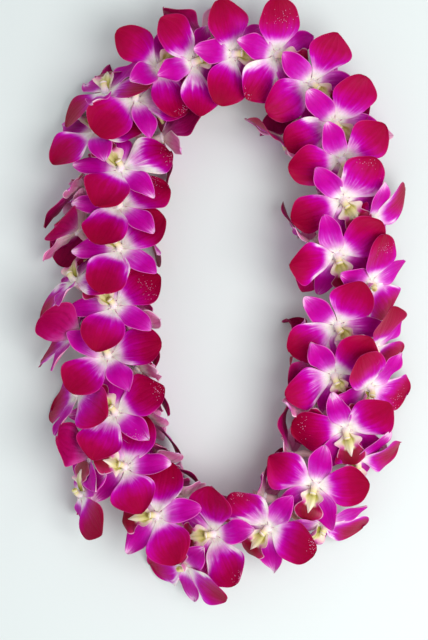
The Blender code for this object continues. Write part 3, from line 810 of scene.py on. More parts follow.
class Shape:
    """Points, faces, the material of each face, and each point's place on its blade."""

    def __init__(self):
        self.points = []
        self.places = []
        self.faces = []
        self.looks = []

    def add(self, point, place):
        """A new point; place is how far across (-1 to 1), how far along (0 to 1) and a tone."""
        point.z = max(point.z, LOWEST)
        self.points.append(point)
        self.places.append(place)
        return len(self.points) - 1

    def face(self, corners, look):
        """A new face."""
        self.faces.append(tuple(corners))
        self.looks.append(LOOKS.index(look))

    def join(self, rings, look_of):
        """Faces between closed rings of as many points."""
        size = len(rings[0])
        for ring, after in zip(rings, rings[1:]):
            for k in range(size):
                m = (k + 1) % size
                self.face((ring[k], ring[m], after[m], after[k]), look_of(k))


def curve_at(points, k, share):
    """A point of the smooth curve through some points, a share of a step past point k."""
    last = len(points) - 1
    a, b, c, d = (points[min(max(k + m, 0), last)] for m in (-1, 0, 1, 2))
    return 0.5 * (
        2 * b
        + (c - a) * share
        + (2 * a - 5 * b + 4 * c - d) * share ** 2
        + (3 * b - a - 3 * c + d) * share ** 3
    )


def smooth_frames(frames, count):
    """Point, across, front and height along a blade, closer together towards its tip."""
    middles = [frame[0] for frame in frames]
    found = []
    last = len(frames) - 1
    for i in range(count + 1):
        share = i / count
        t = share * (1 + ROW_CROWDING - ROW_CROWDING * share)
        k = min(int(t * last), last - 1)
        share = t * last - k
        across = frames[k][2].lerp(frames[k + 1][2], share).normalized()
        front = frames[k][3].lerp(frames[k + 1][3], share)
        front = (front - across * front.dot(across)).normalized()
        found.append((curve_at(middles, k, share), across, front, t))
    return found


def add_blade(shape, frames, section, thickness, columns, looks, tone):
    """A closed thin blade: a front and a back sheet with a rounded rim.

    section(u, t) gives a point of the cross-section, sideways and forward, at a share
    u across (-1 to 1) and t along. Returns the front sheet as rows of points."""
    front_look, back_look = looks
    shares = [math.sin(math.pi / 2 * (2 * j / columns - 1)) for j in range(columns + 1)]
    rings, sheet = [], []
    for point, across, front, t in frames:
        along = max(t, 0.0)
        flat = [section(u, t) for u in shares]
        fronts, backs = [], []
        for j, (x, z) in enumerate(flat):
            before, after = flat[max(j - 1, 0)], flat[min(j + 1, columns)]
            dx, dz = after[0] - before[0], after[1] - before[1]
            size = math.hypot(dx, dz)
            half = thickness / 2 * (1 - EDGE_THINNING * shares[j] ** 4)
            half *= 1 - TIP_THINNING * along
            middle = point + across * x + front * z
            middle.z = max(middle.z, LOWEST_MIDDLE)
            offset = across * (-dz / size * half) + front * (dx / size * half)
            fronts.append(middle + offset)
            backs.append(middle - offset)
        rims = []
        for j, sign in ((columns, 1), (0, -1)):
            beyond = (fronts[j] - fronts[j - sign]).normalized()
            rims.append((fronts[j] + backs[j]) / 2 + beyond * thickness * RIM_REACH)
        ring = [shape.add(p, (u, along, tone)) for p, u in zip(fronts, shares)]
        ring.append(shape.add(rims[0], (1.0, along, tone)))
        ring += [shape.add(backs[j], (shares[j], along, tone)) for j in range(columns, -1, -1)]
        ring.append(shape.add(rims[1], (-1.0, along, tone)))
        rings.append(ring)
        sheet.append(fronts)
    size = len(rings[0])
    shape.join(rings, lambda k: back_look if columns < k < size - 1 else front_look)
    for ring in (rings[0], rings[-1]):
        for j in range(columns):
            shape.face((ring[j], ring[j + 1], ring[size - 3 - j], ring[size - 2 - j]), front_look)
        shape.face((ring[columns], ring[columns + 1], ring[columns + 2]), front_look)
        shape.face((ring[0], ring[size - 2], ring[size - 1]), front_look)
    return sheet


def add_tepal(shape, blossom, name, rng):
    """A petal or sepal: keeled in the middle, its margin gently rippled."""
    tepal = TEPALS[name]
    pose = blossom["poses"][name]
    kind = "petal" if name.startswith("petal") else "sepal"
    frames = spine(blossom, tepal, pose)
    fine = smooth_frames(frames, BLADE_ROWS)
    root = (frames[0][0] - blossom["centre"]).normalized()
    start = blossom["centre"] + root * INNER_ROOT
    fine.insert(0, (start, fine[0][1], fine[0][2], INNER_SHARE))
    blunt = rng.uniform(*BLUNTNESS[kind])
    power = math.log(0.5) / math.log(tepal["widest"] + rng.uniform(-WIDEST_SWAY, WIDEST_SWAY))
    size = kept_width(pose["scale"])
    phase = [rng.uniform(0, 2 * math.pi) for _ in range(4)]
    waves = rng.uniform(*RIPPLE_WAVES)
    ripple = RIPPLE * rng.uniform(*RIPPLE_SHARES) * size
    fold = FOLD * rng.uniform(-1, 1) * size
    skew = rng.uniform(-SKEW, SKEW)
    notch = rng.uniform(*NOTCH)
    curl = rng.uniform(*TIP_CURL) * MM * size

    def section(u, t):
        along = max(t, 0.0)
        swell = max(0.0, math.sin(math.pi * along ** power)) ** blunt
        wide = ROOT_HALF_WIDTH * (1 - along) + tepal["half"] * swell * FULLNESS
        wide = wide * size + LEAST_HALF
        grown = min(1, along * GROWTH)
        inner = 1 - u * u
        side = phase[0] if u > 0 else phase[1]
        wave = ripple * abs(u) ** 3 * math.sin(2 * math.pi * waves * along + side) * grown
        creases = math.sin(FOLD_TURNS[0] * u + FOLD_TURNS[1] * along + phase[2])
        puckers = math.sin(PUCKER_TURNS[0] * u + PUCKER_TURNS[1] * along + phase[3])
        groove = MIDRIB_DEPTH * math.exp(-(u * wide / MIDRIB_WIDTH) ** 2) * (1 - along)
        across = u * wide * (1 + notch * math.sin(NOTCH_TURNS * along + side)) + skew * wide * inner
        bowl = tepal["cup"] * wide * u * u + curl * along ** 4
        rise = bowl + wave + fold * creases * grown * inner + PUCKER * ripple * puckers * grown
        return across, rise - groove

    looks = (f"{kind}_front", f"{kind}_back")
    return add_blade(shape, fine, section, BLADE_THICKNESS, BLADE_COLUMNS, looks, rng.random())


def lip_width(t):
    """Half width of the lip, measured round its roll: side lobes, waist, mid-lobe."""
    side_lobe = SIDE_LOBE * math.exp(-(((t - SIDE_LOBE_PLACE) / SIDE_LOBE_SPREAD) ** 2))
    middle = max(0.0, min(1.0, (t - LIP_WAIST) / (1 - LIP_WAIST)))
    power, blunt = MID_LOBE_POWERS
    mid_lobe = MID_LOBE * max(0.0, math.sin(math.pi * middle ** power)) ** blunt
    return LIP_ROOT * (1 - t) + LIP_LEAST + side_lobe + mid_lobe


def lip_roll(t):
    """How far the lip's margins turn forward, in radians: a trough, then a spread lobe."""
    start, length = ROLL_CHANGE
    ease = smoothed(max(0.0, min(1.0, (t - start) / length)))
    roll = math.radians(THROAT_ROLL + (LOBE_ROLL - THROAT_ROLL) * ease)
    return roll * min(1.0, ROLL_AT_ROOT + t * GROWTH)


def add_lip(shape, blossom, roll):
    """The lip: a rolled throat with side lobes, a spread mid-lobe and a pale callus."""
    rng = random.Random(blossom["number"])
    pose = blossom["poses"]["lip"]
    fine = smooth_frames(spine(blossom, TEPALS["lip"], pose), LIP_ROWS)
    size = kept_width(pose["scale"])
    phase = rng.uniform(0, 2 * math.pi)
    tone = rng.random()

    def section(u, t):
        wide = lip_width(t) * size
        bend = lip_roll(t) * roll / wide
        turns = 2 * math.pi * LIP_WAVES * t + phase + (2 if u > 0 else 0)
        ripple = LIP_RIPPLE * u ** 4 * math.sin(turns)
        x, z = u * wide, 0.0
        if abs(bend) >= STRAIGHT:
            x, z = math.sin(bend * x) / bend, (1 - math.cos(bend * x)) / bend
        return x, z + ripple * size

    looks = ("lip_front", "lip_back")
    add_blade(shape, fine, section, BLADE_THICKNESS, LIP_COLUMNS, looks, tone)
    callus = [frame for frame in fine if frame[3] < CALLUS_LENGTH]
    last = callus[-1][3]

    def callus_section(u, t):
        share = t / last
        turn, start = CALLUS_TURN
        power, least, blunt = CALLUS_TIP
        swell = CALLUS_SWELL * math.sin(math.pi * min(share * turn + start, 1)) ** 2
        wide = (CALLUS_ROOT + swell) * MM * size * max(1 - share ** power, least) ** blunt
        ridges = CALLUS_RIDGES * math.cos(3 * math.pi * u) * (1 - abs(u))
        high = ridges + CALLUS_ARCH * (1 - u * u)
        return u * wide, CALLUS_RISE + high * (CALLUS_LEVEL + (1 - CALLUS_LEVEL) * (1 - share ** 4))

    looks = ("callus", "callus")
    add_blade(shape, callus, callus_section, CALLUS_THICKNESS, CALLUS_COLUMNS, looks, tone)


def add_tube(shape, path, radii, look, tone, sides=TUBE_SIDES, squash=1.0, upright=UP):
    """A closed tube along a path, one radius for each point of it."""
    rings = []
    last = len(path) - 1
    helper = upright
    for k, centre in enumerate(path):
        heading = (path[min(k + 1, last)] - path[max(k - 1, 0)]).normalized()
        helper = helper - heading * helper.dot(heading)
        if helper.length < LEAST_HELPER:  # the path runs almost along it
            helper = heading.orthogonal()
        helper.normalize()
        beside = heading.cross(helper)
        ring = []
        for i in range(sides):
            angle = 2 * math.pi * i / sides
            high = math.cos(angle) * radii[k] * squash
            point = centre + (helper * high + beside * (math.sin(angle) * radii[k]))
            ring.append(shape.add(point, (abs(2 * i / sides - 1), k / last, tone)))
        rings.append(ring)
    shape.join(rings, lambda k: look)
    shape.face(rings[0], look)
    shape.face(rings[-1], look)


def smooth_path(corners, steps):
    """Points of a smooth curve through its corners."""
    turns = range(len(corners) - 1)
    return [curve_at(corners, k, i / steps) for k in turns for i in range(steps)] + [corners[-1]]


def eased(values, count):
    """Values spread over a number of points, with smooth steps between them."""
    found = []
    last = len(values) - 1
    for i in range(count):
        place = i / (count - 1) * last
        k = min(int(place), last - 1)
        found.append(values[k] + (values[k + 1] - values[k]) * smoothed(place - k))
    return found


def add_column(shape, blossom, tone):
    """The column over the throat, with its anther cap, and the boss that all parts grow from."""
    centre, face, dorsal = blossom["centre"], blossom["face"], blossom["dorsal"]
    corners = [centre + face * high * MM + dorsal * reach * MM for high, reach in COLUMN_PATH]
    path = smooth_path(corners, COLUMN_STEPS)
    radii = eased(in_mm(COLUMN_RADII), len(path))
    ahead = (path[-1] - path[-2]).normalized()
    end = path[-1]
    for reach, radius in COLUMN_END:
        path.append(end + ahead * reach * MM)
        radii.append(radius * MM)
    add_tube(shape, path, radii, "column", tone, squash=COLUMN_SQUASH, upright=face)
    ahead = (corners[-1] - corners[-2]).normalized()
    start = face * CAP_LIFT * MM
    path = [end + ahead * (k * CAP_STEP - CAP_START) * MM + start for k in range(len(CAP_RADII))]
    add_tube(shape, path, in_mm(CAP_RADII), "column", tone, squash=CAP_SQUASH, upright=face)
    path = [centre + face * high * MM for high, _ in BOSS]
    add_tube(shape, path, in_mm(radius for _, radius in BOSS), "boss", tone, sides=BOSS_SIDES)


def add_stalk(shape, blossom, tone):
    """The spur and flower stalk, from the back of the flower to the cut end."""
    back = blossom["centre"] - blossom["face"] * STALK_INSET
    middle, end = stalk_path(blossom, blossom["swing"])[1:]
    corners = [back, blossom["bend"], blossom["eyelet"], middle, end]
    path = smooth_path(corners, STALK_STEPS)
    radii = eased(in_mm(STALK_RADII), len(path))[:-1] + in_mm(STALK_CUT)
    path.append(path[-1] + (path[-1] - path[-2]).normalized() * CUT_LENGTH)
    add_tube(shape, path, radii, "stalk", tone)


def add_dew(shape, sheet, rng):
    """Drops of dew in a loose cluster on the front of a petal."""
    rows, columns = len(sheet), len(sheet[0])
    row_mid, column_mid = rng.uniform(*DEW_ROWS) * rows, rng.uniform(*DEW_COLUMNS) * columns
    for _ in range(rng.randint(*DROPS)):
        i = int(rng.gauss(row_mid, rows * DEW_SPREAD[0]))
        j = int(rng.gauss(column_mid, columns * DEW_SPREAD[1]))
        if not (3 <= i < rows - 2 and 1 <= j < columns - 2):
            continue
        a, b, c = sheet[i][j], sheet[i + 1][j], sheet[i][j + 1]
        base = a + (b - a) * rng.random() + (c - a) * rng.random()
        normal = (c - a).cross(b - a).normalized()
        if normal.z < 0:
            normal = -normal
        first = (b - a).normalized()
        second = normal.cross(first)
        radius = rng.uniform(*DROP_SIZES) * MM
        rings = []
        for rise, reach in DROP_PROFILE:
            ring = []
            for k in range(DROP_SIDES):
                angle = 2 * math.pi * (k + 0.5 * rise) / DROP_SIDES
                offset = swung(first, second, angle) * reach + normal * rise
                ring.append(shape.add(base + offset * radius, (0, 0, 0)))
            rings.append(ring)
        top = shape.add(base + normal * radius * DROP_TOP, (0, 0, 0))
        shape.join(rings, lambda k: "dew")
        for k in range(DROP_SIDES):
            shape.face((rings[-1][k], rings[-1][(k + 1) % DROP_SIDES], top), "dew")
        shape.face(rings[0], "dew")


def add_tepals(shape, blossom):
    """The two petals and three sepals; returns the front sheet of each."""
    rng = random.Random(TEPAL_SEED + blossom["number"])
    names = [name for name in SETTLE_ORDER if name != "lip"]
    return {name: add_tepal(shape, blossom, name, rng) for name in names}


def make_flower(blossom, roll):
    """All the surfaces of one flower."""
    shape = Shape()
    sheets = add_tepals(shape, blossom)
    rng = random.Random(DEW_SEED + blossom["number"])
    if blossom["face"].z > DEWY_TILT and rng.random() < DEWY_SHARE:
        for name, sheet in sheets.items():
            if rng.random() < WET_SHARE[name[:5]]:
                add_dew(shape, sheet, rng)
    tone = rng.random()
    add_column(shape, blossom, tone)
    add_stalk(shape, blossom, tone)
    add_lip(shape, blossom, roll)
    return shape


def lip_rolls(found):
    """How far each lip may roll forward without running into a neighbour's tepals."""
    blades = []
    for blossom in found:
        shape = Shape()
        add_tepals(shape, blossom)
        blades.append(placed_shape(blossom["number"], shape.points, shape.faces))
    rolls = []
    for blossom in found:
        others = [e for e in blades if e["owner"] != blossom["number"]]
        for roll in LIP_ROLLS:
            shape = Shape()
            add_lip(shape, blossom, roll)
            if not touches(placed_shape(None, shape.points, shape.faces), others):
                break
        rolls.append(roll)
    return rolls


def new_piece(name, shape, materials, shift):
    """A smooth Blender mesh from a shape, with each point's place stored on it."""
    mesh = bpy.data.meshes.new(name)
    mesh.from_pydata([p + shift for p in shape.points], [], shape.faces)
    for material in materials:
        mesh.materials.append(material)
    mesh.polygons.foreach_set("material_index", shape.looks)
    places = mesh.attributes.new("place", "FLOAT_VECTOR", "POINT")
    places.data.foreach_set("vector", [value for place in shape.places for value in place])
    bm = bmesh.new()
    bm.from_mesh(mesh)
    bmesh.ops.recalc_face_normals(bm, faces=bm.faces)
    bm.to_mesh(mesh)
    bm.free()
    mesh.shade_smooth()
    piece = bpy.data.objects.new(name, mesh)
    bpy.context.scene.collection.objects.link(piece)
    return piece


# ---- the cotton thread ----
THREAD_STRANDS = 3
THREAD_TWIST = 4.2 * MM
STRAND_RADIUS = 0.33 * MM
STRAND_OFFSET = 0.30 * MM
STRAND_SIDES = 5
TWIST_STEPS = 7


def make_thread():
    """The thread as three strands laid round each other, closed on itself."""
    shape = Shape()
    steps = round(LOOP_LENGTH / THREAD_TWIST) * TWIST_STEPS
    for strand in range(THREAD_STRANDS):
        rings = []
        for k in range(steps):
            centre, _, normal = loop_at(LOOP_LENGTH * k / steps)
            angle = 2 * math.pi * (k / TWIST_STEPS + strand / THREAD_STRANDS)
            centre = centre + swung(normal, UP, angle) * STRAND_OFFSET
            ring = enumerate(ring_of(centre, normal, UP, STRAND_RADIUS, STRAND_SIDES))
            places = [(p, (i / STRAND_SIDES, k / TWIST_STEPS, strand)) for i, p in ring]
            rings.append([shape.add(*place) for place in places])
        shape.join(rings + rings[:1], lambda m: LOOKS[0])
    return shape


# ---- materials ----
# Colours are everyday ones, red, green and blue from 0 to 255.
CREAM = (252, 246, 234)
WHITE = (255, 246, 250)
LILAC = (236, 150, 228)
VIOLET = (204, 10, 196)
# Petals and sepals: their colours by height (a share of the length); the rim's colour, where
# it starts and how much it shows; how many veins lie on a side, how much they show, and
# their colour; and how much earlier the colours change at the edge, at most. The pale rim
# and tip are painted rim light, light shining through the thin margin; on the sepals they
# are also partly the sepal's own paler margin and tip.
TEPAL_SKINS = {
    "petal_front": dict(
        # Partly painted light: the violet band after the white heart stands partly for sky sheen on
        # the velvety inner half, and the deep crimson towards the tip partly for light shining
        # through the petal; the rest is the petal's own colour.
        stops=[(0.0, CREAM), (0.10, WHITE), (0.155, (248, 210, 244)), (0.195, LILAC),
               (0.25, VIOLET), (0.33, (194, 0, 156)), (0.40, (188, 0, 134)),
               (0.50, (182, 0, 106)), (0.63, (168, 0, 68)), (1.0, (142, 0, 42))],
        rim=((232, 80, 170), 0.968, 0.32), veins=(7, 0.06, (128, 0, 40)), margin=0.36,
    ),
    "petal_back": dict(
        stops=[(0.0, (240, 215, 215)), (0.10, (226, 150, 200)), (0.22, (196, 36, 146)),
               (0.45, (168, 2, 92)), (1.0, (140, 0, 56))],
        rim=((226, 90, 160), 0.965, 0.4), veins=(7, 0.3, (104, 0, 44)), margin=0.2,
    ),
    "sepal_front": dict(
        stops=[(0.0, CREAM), (0.07, WHITE), (0.16, LILAC), (0.26, VIOLET),
               (0.55, (188, 0, 140)), (0.82, (196, 4, 165)), (0.94, (226, 90, 206)),
               (1.0, (248, 206, 236))],
        rim=((240, 130, 206), 0.94, 0.6), veins=(4, 0.12, (140, 0, 90)), margin=0.1,
    ),
    "sepal_back": dict(
        stops=[(0.0, (240, 230, 208)), (0.2, (240, 206, 214)), (0.5, (226, 140, 186)),
               (0.8, (212, 84, 156)), (1.0, (240, 190, 216))],
        rim=((250, 214, 230), 0.92, 0.8), veins=(4, 0.4, (190, 60, 130)), margin=0.1,
    ),
}
# What lies under a skin: the weight of the light that passes below the surface, how far its
# red, green and blue go, and the scale of that, in metres.
PETAL_FLESH = (0.10, (1.0, 0.08, 0.4), 0.0016)
LIP_FLESH = (0.1, (1.0, 0.15, 0.4), 0.0014)
CALLUS_FLESH = (0.25, (1.0, 0.8, 0.4), 0.0015)
WAXY_FLESH = (0.3, (1.0, 0.75, 0.6), 0.0018)
STALK_FLESH = (0.2, (1.0, 0.7, 0.4), 0.0015)
# All four skins of petals and sepals. Clouds, streaks and the blade's tone move the heights
# of the colours, but not near its root; a spread is the range that a value fades over.
CLOUDS = 42.0
STREAKS = (7.0, 1.5, 40.0)
CLOUD_DRIFT = 0.55
STREAK_DRIFT = 0.34
TONE_DRIFT = 0.26
DRIFT_SPREAD = (0.12, 0.45)
TONE_TURNS = 7.3
VEIN_WANDER = 5.0
VEIN_START = 0.2
PATCHES = 110.0
PATCH_SPREAD = (0.42, 0.62)
MOTTLE = 260.0
MOTTLE_SPREAD = (0.35, 0.75)
MOTTLE_SHARE = 0.16
RIM_FADE = 0.03
TIP_SPREAD = (0.985, 0.997)
GRAIN = 1400.0
GRAIN_SHARE = 0.5
VEIN_RELIEF = -0.35
PETAL_RELIEF = 0.00018
PETAL_GLOSS = (0.34, 0.2)
PETAL_SPECULAR = 0.05
# The lip: where its throat ends to the sides, where its colours change along it, its rim.
LIP_CLOUDS = 60.0
THROAT_SPREAD = (0.34, 0.62)
WING_SPREAD = (0.2, 0.46)
OUTER_SPREAD = (0.3, 0.95)
MID_LOBE_SPREAD = (0.47, 0.58)
LIP_VEINS = 26.0
LIP_VEIN_SPREAD = (0.4, 0.6)
LIP_VEIN_SHARE = 0.25
LIP_RIM_SPREAD = (0.92, 0.975)
LIP_RIM_SHARE = 0.7
# The Mix node's inputs and its output for colours.
MIX_INPUTS = (6, 7)
MIX_OUTPUT = 2


def srgb(red, green, blue):
    """A linear colour from its everyday values, 0 to 255."""
    found = []
    for value in (red, green, blue):
        share = value / 255
        found.append(share / 12.92 if share <= 0.04045 else ((share + 0.055) / 1.055) ** 2.4)
    return (*found, 1)


class Field:
    """What a node gives, all over a surface; arithmetic on it adds Math nodes."""

    def __init__(self, nodes, made, output=0):
        self.nodes = nodes
        self.made = made
        self.socket = made.outputs[output]

    def math(self, operation, other=0.0, clamp=False):
        """A value worked out from this one, and from another if the operation takes two."""
        found = self.nodes.add("Math", self, other)
        found.made.operation = operation
        found.made.use_clamp = clamp
        return found

    def __add__(self, other):
        return self.math("ADD", other)

    def __sub__(self, other):
        return self.math("SUBTRACT", other)

    def __mul__(self, other):
        return self.math("MULTIPLY", other)

    def __abs__(self):
        return self.math("ABSOLUTE")

    def between(self, low, high):
        """0 below low, 1 above high, smooth between them."""
        found = self.nodes.add("MapRange", self, low, high)
        found.made.interpolation_type = "SMOOTHSTEP"
        return found

    def veins(self):
        """Thin lines, one for each turn of this value in radians."""
        return self.math("SINE").between(VEIN_START, 1.0)

    def ramp(self, stops):
        """A colour that changes with this value."""
        found = self.nodes.add("ValToRGB", self)
        found.made.color_ramp.interpolation = "B_SPLINE"
        elements = found.made.color_ramp.elements
        while len(elements) < len(stops):
            elements.new(1.0)
        for element, (place, colour) in zip(elements, stops):
            element.position = place
            element.color = srgb(*colour)
        return found


class Nodes:
    """A material's nodes, added one at a time."""

    def __init__(self, name):
        self.material = bpy.data.materials.new(name)
        self.material.use_nodes = True
        self.tree = self.material.node_tree
        self.shader = self.tree.nodes["Principled BSDF"]

    def add(self, kind, *first, **named):
        """What a new node gives, with its first inputs and some others set or linked."""
        made = self.tree.nodes.new("ShaderNode" + kind)
        for socket, value in zip(made.inputs, first):
            self.feed(socket, value)
        for name, value in named.items():
            self.feed(made.inputs[name], value)
        return Field(self, made)

    def feed(self, socket, value):
        """Set a socket, or link it to what varies."""
        if isinstance(value, Field):
            self.tree.links.new(value.socket, socket)
        else:
            socket.default_value = value

    def mix(self, factor, a, b):
        """A colour between two."""
        made = self.add("Mix", factor).made
        made.data_type = "RGBA"
        for place, colour in zip(MIX_INPUTS, (a, b)):
            self.feed(made.inputs[place], srgb(*colour) if isinstance(colour, tuple) else colour)
        return Field(self, made, MIX_OUTPUT)

    def noise(self, scale, detail=2.0, space=None):
        """Soft noise in the object's own space, or in another."""
        space = space or Field(self, self.add("TexCoord").made, "Object")
        return self.add("TexNoise", Scale=scale, Detail=detail, Vector=space)

    def place(self):
        """How far across and along its blade a point lies, and the blade's tone."""
        made = self.add("Attribute").made
        made.attribute_name = "place"
        apart = self.add("SeparateXYZ", Field(self, made, "Vector")).made
        return [Field(self, apart, axis) for axis in range(3)]

    def bump(self, height, distance):
        """Fine relief."""
        self.feed(self.shader.inputs["Normal"], self.add("Bump", Height=height, Distance=distance))

    def finish(self, colour, roughness, specular, flesh=None, **more):
        """Set the shader's own sockets; returns the material."""
        values = {"Base Color": colour, "Roughness": roughness, "Specular IOR Level": specular}
        if flesh:
            names = ("Subsurface Weight", "Subsurface Radius", "Subsurface Scale")
            values.update(zip(names, flesh))
        for name, value in {**values, **more}.items():
            self.feed(self.shader.inputs[name], value)
        return self.material


def tepal_material(name, stops, rim, veins, margin):
    """A petal or sepal's skin: colour by height, soft veins and a pale rim, which is painted rim
    light, light shining through the thin margin.
    """
    nodes = Nodes(name)
    across, along, tone = nodes.place()
    rim_colour, rim_start, rim_share = rim
    vein_count, vein_depth, deep = veins
    edge = abs(across)
    clouds = nodes.noise(CLOUDS, 3.0)
    sizes = zip((across, along, tone), STREAKS)
    fan = nodes.add("CombineXYZ", *[place * size for place, size in sizes])
    streaks = nodes.noise(1.0, 3.0, fan)
    drift = (clouds - 0.5) * CLOUD_DRIFT + (streaks - 0.5) * STREAK_DRIFT
    drift = drift + (tone - 0.5) * TONE_DRIFT
    reach = along.between(*DRIFT_SPREAD)
    lean = edge.math("POWER", 2.0) * ((tone * TONE_TURNS).math("FRACT") * -margin)
    height = along.math("ADD", drift * reach + lean * reach, clamp=True)
    colour = height.ramp(stops)
    lines = (across * (vein_count * math.pi) + clouds * VEIN_WANDER).veins()
    patches = nodes.noise(PATCHES).between(*PATCH_SPREAD)
    colour = nodes.mix(lines * patches * vein_depth, colour, deep)
    mottle = nodes.noise(MOTTLE, 3.0).between(*MOTTLE_SPREAD)
    colour = nodes.mix(mottle * MOTTLE_SHARE, colour, deep)
    # Painted rim light: the pale edge and tip stand for light shining through the thin margin; on
    # sepals they are partly their own paler margin and tip.
    pale = edge.between(rim_start, rim_start + RIM_FADE)
    pale = pale.math("MAXIMUM", along.between(*TIP_SPREAD))
    colour = nodes.mix(pale * rim_share, colour, rim_colour)
    nodes.bump(lines * VEIN_RELIEF + nodes.noise(GRAIN) * GRAIN_SHARE, PETAL_RELIEF)
    least, more = PETAL_GLOSS
    return nodes.finish(colour, clouds * more + least, PETAL_SPECULAR, PETAL_FLESH)


def lip_material(name):
    """The lip's skin: a cream throat with a dark olive band of painted shade where it hollows under
    the column, magenta side lobes, a dark mid-lobe.
    """
    nodes = Nodes(name)
    across, along, _ = nodes.place()
    edge = abs(across)
    clouds = nodes.noise(LIP_CLOUDS)
    if name == "lip_front":
        # Painted shade: the dark olive stop at 0.14 stands for the shade in the throat's hollow
        # under the column.
        throat = along.ramp([(0.0, (206, 198, 110)), (0.14, (146, 140, 34)),
                             (0.28, (202, 192, 100)), (0.44, (246, 236, 206))])
        wing = nodes.mix(along.between(*WING_SPREAD), (246, 232, 214), (206, 60, 160))
        outer = nodes.mix(edge.between(*OUTER_SPREAD), (140, 0, 38), (176, 0, 84))
        side = (edge + (clouds - 0.5) * 0.3).between(*THROAT_SPREAD)
        end = (along + edge * 0.10).between(*MID_LOBE_SPREAD)
        colour = nodes.mix(end, nodes.mix(side, throat, wing), outer)
    else:
        colour = along.ramp([(0.0, (240, 226, 206)), (0.3, (226, 130, 190)),
                             (0.55, (196, 20, 130)), (1.0, (176, 0, 80))])
    lines = (across * LIP_VEINS + clouds * 4.0).veins() * along.between(*LIP_VEIN_SPREAD)
    colour = nodes.mix(lines * LIP_VEIN_SHARE, colour, (110, 0, 50))
    pale = edge.between(*LIP_RIM_SPREAD)
    colour = nodes.mix(pale * LIP_RIM_SHARE, colour, (244, 176, 214))
    nodes.bump(nodes.noise(1300.0), 0.0001)
    return nodes.finish(colour, 0.42, 0.3, LIP_FLESH)


def callus_material():
    """The pale tongue on the lip: olive at its root, which is painted shade of the pit it rises
    from, cream, then white at its tip.
    """
    nodes = Nodes("callus")
    across, along, _ = nodes.place()
    # Painted shade: the olive at the root stands for the dark pit the callus rises from.
    colour = along.ramp([(0.0, (160, 154, 50)), (0.14, (176, 170, 70)), (0.30, (224, 214, 140)),
                         (0.48, (246, 232, 196)), (0.72, (255, 228, 232))])
    colour = nodes.mix(abs(across).between(0.45, 0.05) * 0.35, colour, (150, 146, 50))
    nodes.bump(nodes.noise(900.0, 3.0), 0.0002)
    return nodes.finish(colour, 0.4, 0.4, CALLUS_FLESH)


def column_material():
    """The column and its cap: waxy cream, greenish-yellow towards the tip, and olive at the very
    end, which is painted shade of the dark cavity under the tip.
    """
    nodes = Nodes("column")
    _, along, tone = nodes.place()
    colour = nodes.mix(tone, (248, 236, 228), (250, 230, 242))
    colour = nodes.mix(along.between(0.25, 0.8), colour, (230, 220, 148))
    # Painted shade: the olive at the end stands for the dark cavity under the column's tip.
    colour = nodes.mix(along.between(0.8, 1.0), colour, (178, 168, 70))
    colour = nodes.mix(nodes.noise(240.0).between(0.5, 0.75) * 0.3, colour, (226, 170, 206))
    nodes.bump(nodes.noise(1100.0), 0.0001)
    return nodes.finish(colour, 0.38, 0.35, WAXY_FLESH)


def boss_material():
    """The middle that the tepals grow from: white with a cream flush."""
    nodes = Nodes("boss")
    flush = nodes.noise(200.0).between(0.4, 0.7)
    return nodes.finish(nodes.mix(flush, (250, 234, 244), (242, 232, 206)), 0.45, 0.25, WAXY_FLESH)


def stalk_material():
    """The spur and stalk: lilac-white behind the flower, pinkish, green-yellow at the cut."""
    nodes = Nodes("stalk")
    _, along, _ = nodes.place()
    colour = along.ramp([(0.0, (232, 214, 214)), (0.35, (226, 176, 190)), (0.62, (226, 190, 160)),
                         (0.86, (206, 202, 120)), (1.0, (232, 228, 168))])
    streaks = nodes.noise(420.0, 3.0)
    nodes.bump(streaks, 0.0002)
    return nodes.finish(nodes.mix(streaks * 0.3, colour, (186, 120, 110)), 0.45, 0.4, STALK_FLESH)


def dew_material():
    """Beads of water, bright with the sky they mirror; their pink is painted reflection and
    highlight, the petal below seen through them.
    """
    more = {"IOR": 1.33, "Transmission Weight": 0.4}
    # Painted reflection: the pink base colour stands for the petal seen through the drop and its
    # pink highlights.
    return Nodes("dew").finish((1.0, 0.36, 0.72, 1.0), 0.06, 0.9, **more)


def cotton_material():
    """Off-white cotton, its fibres across the strands."""
    nodes = Nodes("cotton")
    fibres = nodes.noise(2600.0, 3.0)
    nodes.bump(fibres, 0.0002)
    colour = nodes.mix(fibres, (214, 206, 190), (246, 242, 232))
    return nodes.finish(colour, 0.85, 0.2, **{"Sheen Weight": 0.3})


def flower_materials():
    """The materials of a flower, in the order of LOOKS."""
    made = [tepal_material(name, **skin) for name, skin in TEPAL_SKINS.items()]
    made += [lip_material("lip_front"), lip_material("lip_back"), callus_material()]
    made += [column_material(), boss_material(), stalk_material(), dew_material()]
    return made


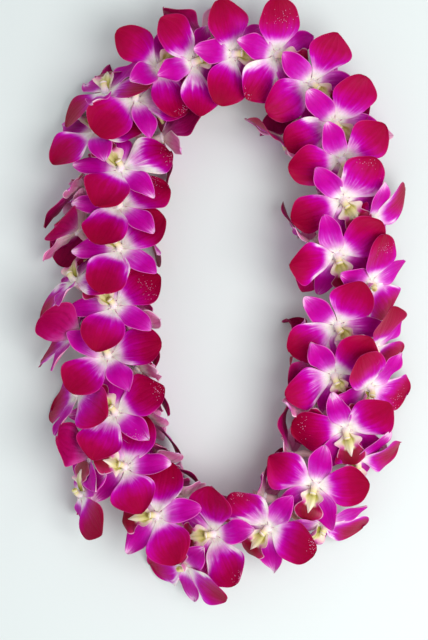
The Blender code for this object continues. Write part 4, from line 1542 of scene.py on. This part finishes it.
# ---- studio ----
# VIEW_LENGTH is what the camera sees of the lei's long way, at the height FLOWER_LEVEL.
FLOOR_SIZE = 6.0
FLOOR_COLOURS = ((225, 233, 233), (218, 226, 226))
CAMERA_DISTANCE = 1.05
FLOWER_LEVEL = 0.040
VIEW_LENGTH = 0.448
VIEW_MIDDLE = Vector((-7.7 * MM, -12.0 * MM, 0.0))
SENSOR = 36.0
KEY_POWER = 10.6
KEY_SIZE = 0.8
KEY_PLACE = Vector((0.50, -0.22, 1.03))
KEY_COLOUR = (1.0, 0.985, 0.96)
FILL_STRENGTH = 0.60
FILL_COLOUR = (0.96, 0.99, 1.0, 1.0)


def make_stage(shift):
    """A plain pale floor, soft light from the lower right, and the camera straight above."""
    bpy.ops.mesh.primitive_plane_add(size=FLOOR_SIZE)
    floor = bpy.context.object
    floor.name = "floor"
    nodes = Nodes("floor")
    colour = nodes.mix(nodes.noise(300.0) * 0.1, *FLOOR_COLOURS)
    floor.data.materials.append(nodes.finish(colour, 0.6, 0.25))

    scene = bpy.context.scene
    world = bpy.data.worlds.new("studio")
    world.use_nodes = True
    background = world.node_tree.nodes["Background"]
    background.inputs["Color"].default_value = FILL_COLOUR
    background.inputs["Strength"].default_value = FILL_STRENGTH
    scene.world = world
    scene.view_settings.view_transform = "Standard"

    lamp = bpy.data.lights.new("key", "AREA")
    lamp.energy = KEY_POWER
    lamp.size = KEY_SIZE
    lamp.color = KEY_COLOUR
    key = bpy.data.objects.new("key", lamp)
    key.location = KEY_PLACE
    key.rotation_euler = (-KEY_PLACE).to_track_quat("-Z", "Y").to_euler()
    scene.collection.objects.link(key)

    lens = bpy.data.cameras.new("camera")
    lens.sensor_width = SENSOR
    lens.lens = SENSOR * CAMERA_DISTANCE / VIEW_LENGTH
    camera = bpy.data.objects.new("camera", lens)
    camera.location = VIEW_MIDDLE + shift + Vector((0, 0, FLOWER_LEVEL + CAMERA_DISTANCE))
    scene.collection.objects.link(camera)
    scene.camera = camera


def main():
    """Make the pieces, each riding on the lei's one body, and the studio."""
    low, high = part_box("thread")
    shift = (low + high) / 2 - Vector((0, 0, THREAD_HEIGHT))
    found = placed_blossoms()
    settle(found)
    materials = flower_materials()
    for blossom, roll in zip(found, lip_rolls(found)):
        number = blossom["number"] + 1
        piece = new_piece(f"flower_{number:02d}", make_flower(blossom, roll), materials, shift)
        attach(piece, "root")
        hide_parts(f"blossom_{number:02d}")
    thread = new_piece("twisted_thread", make_thread(), [cotton_material()], shift)
    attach(thread, "root")
    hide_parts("thread")
    make_stage(shift)


main()
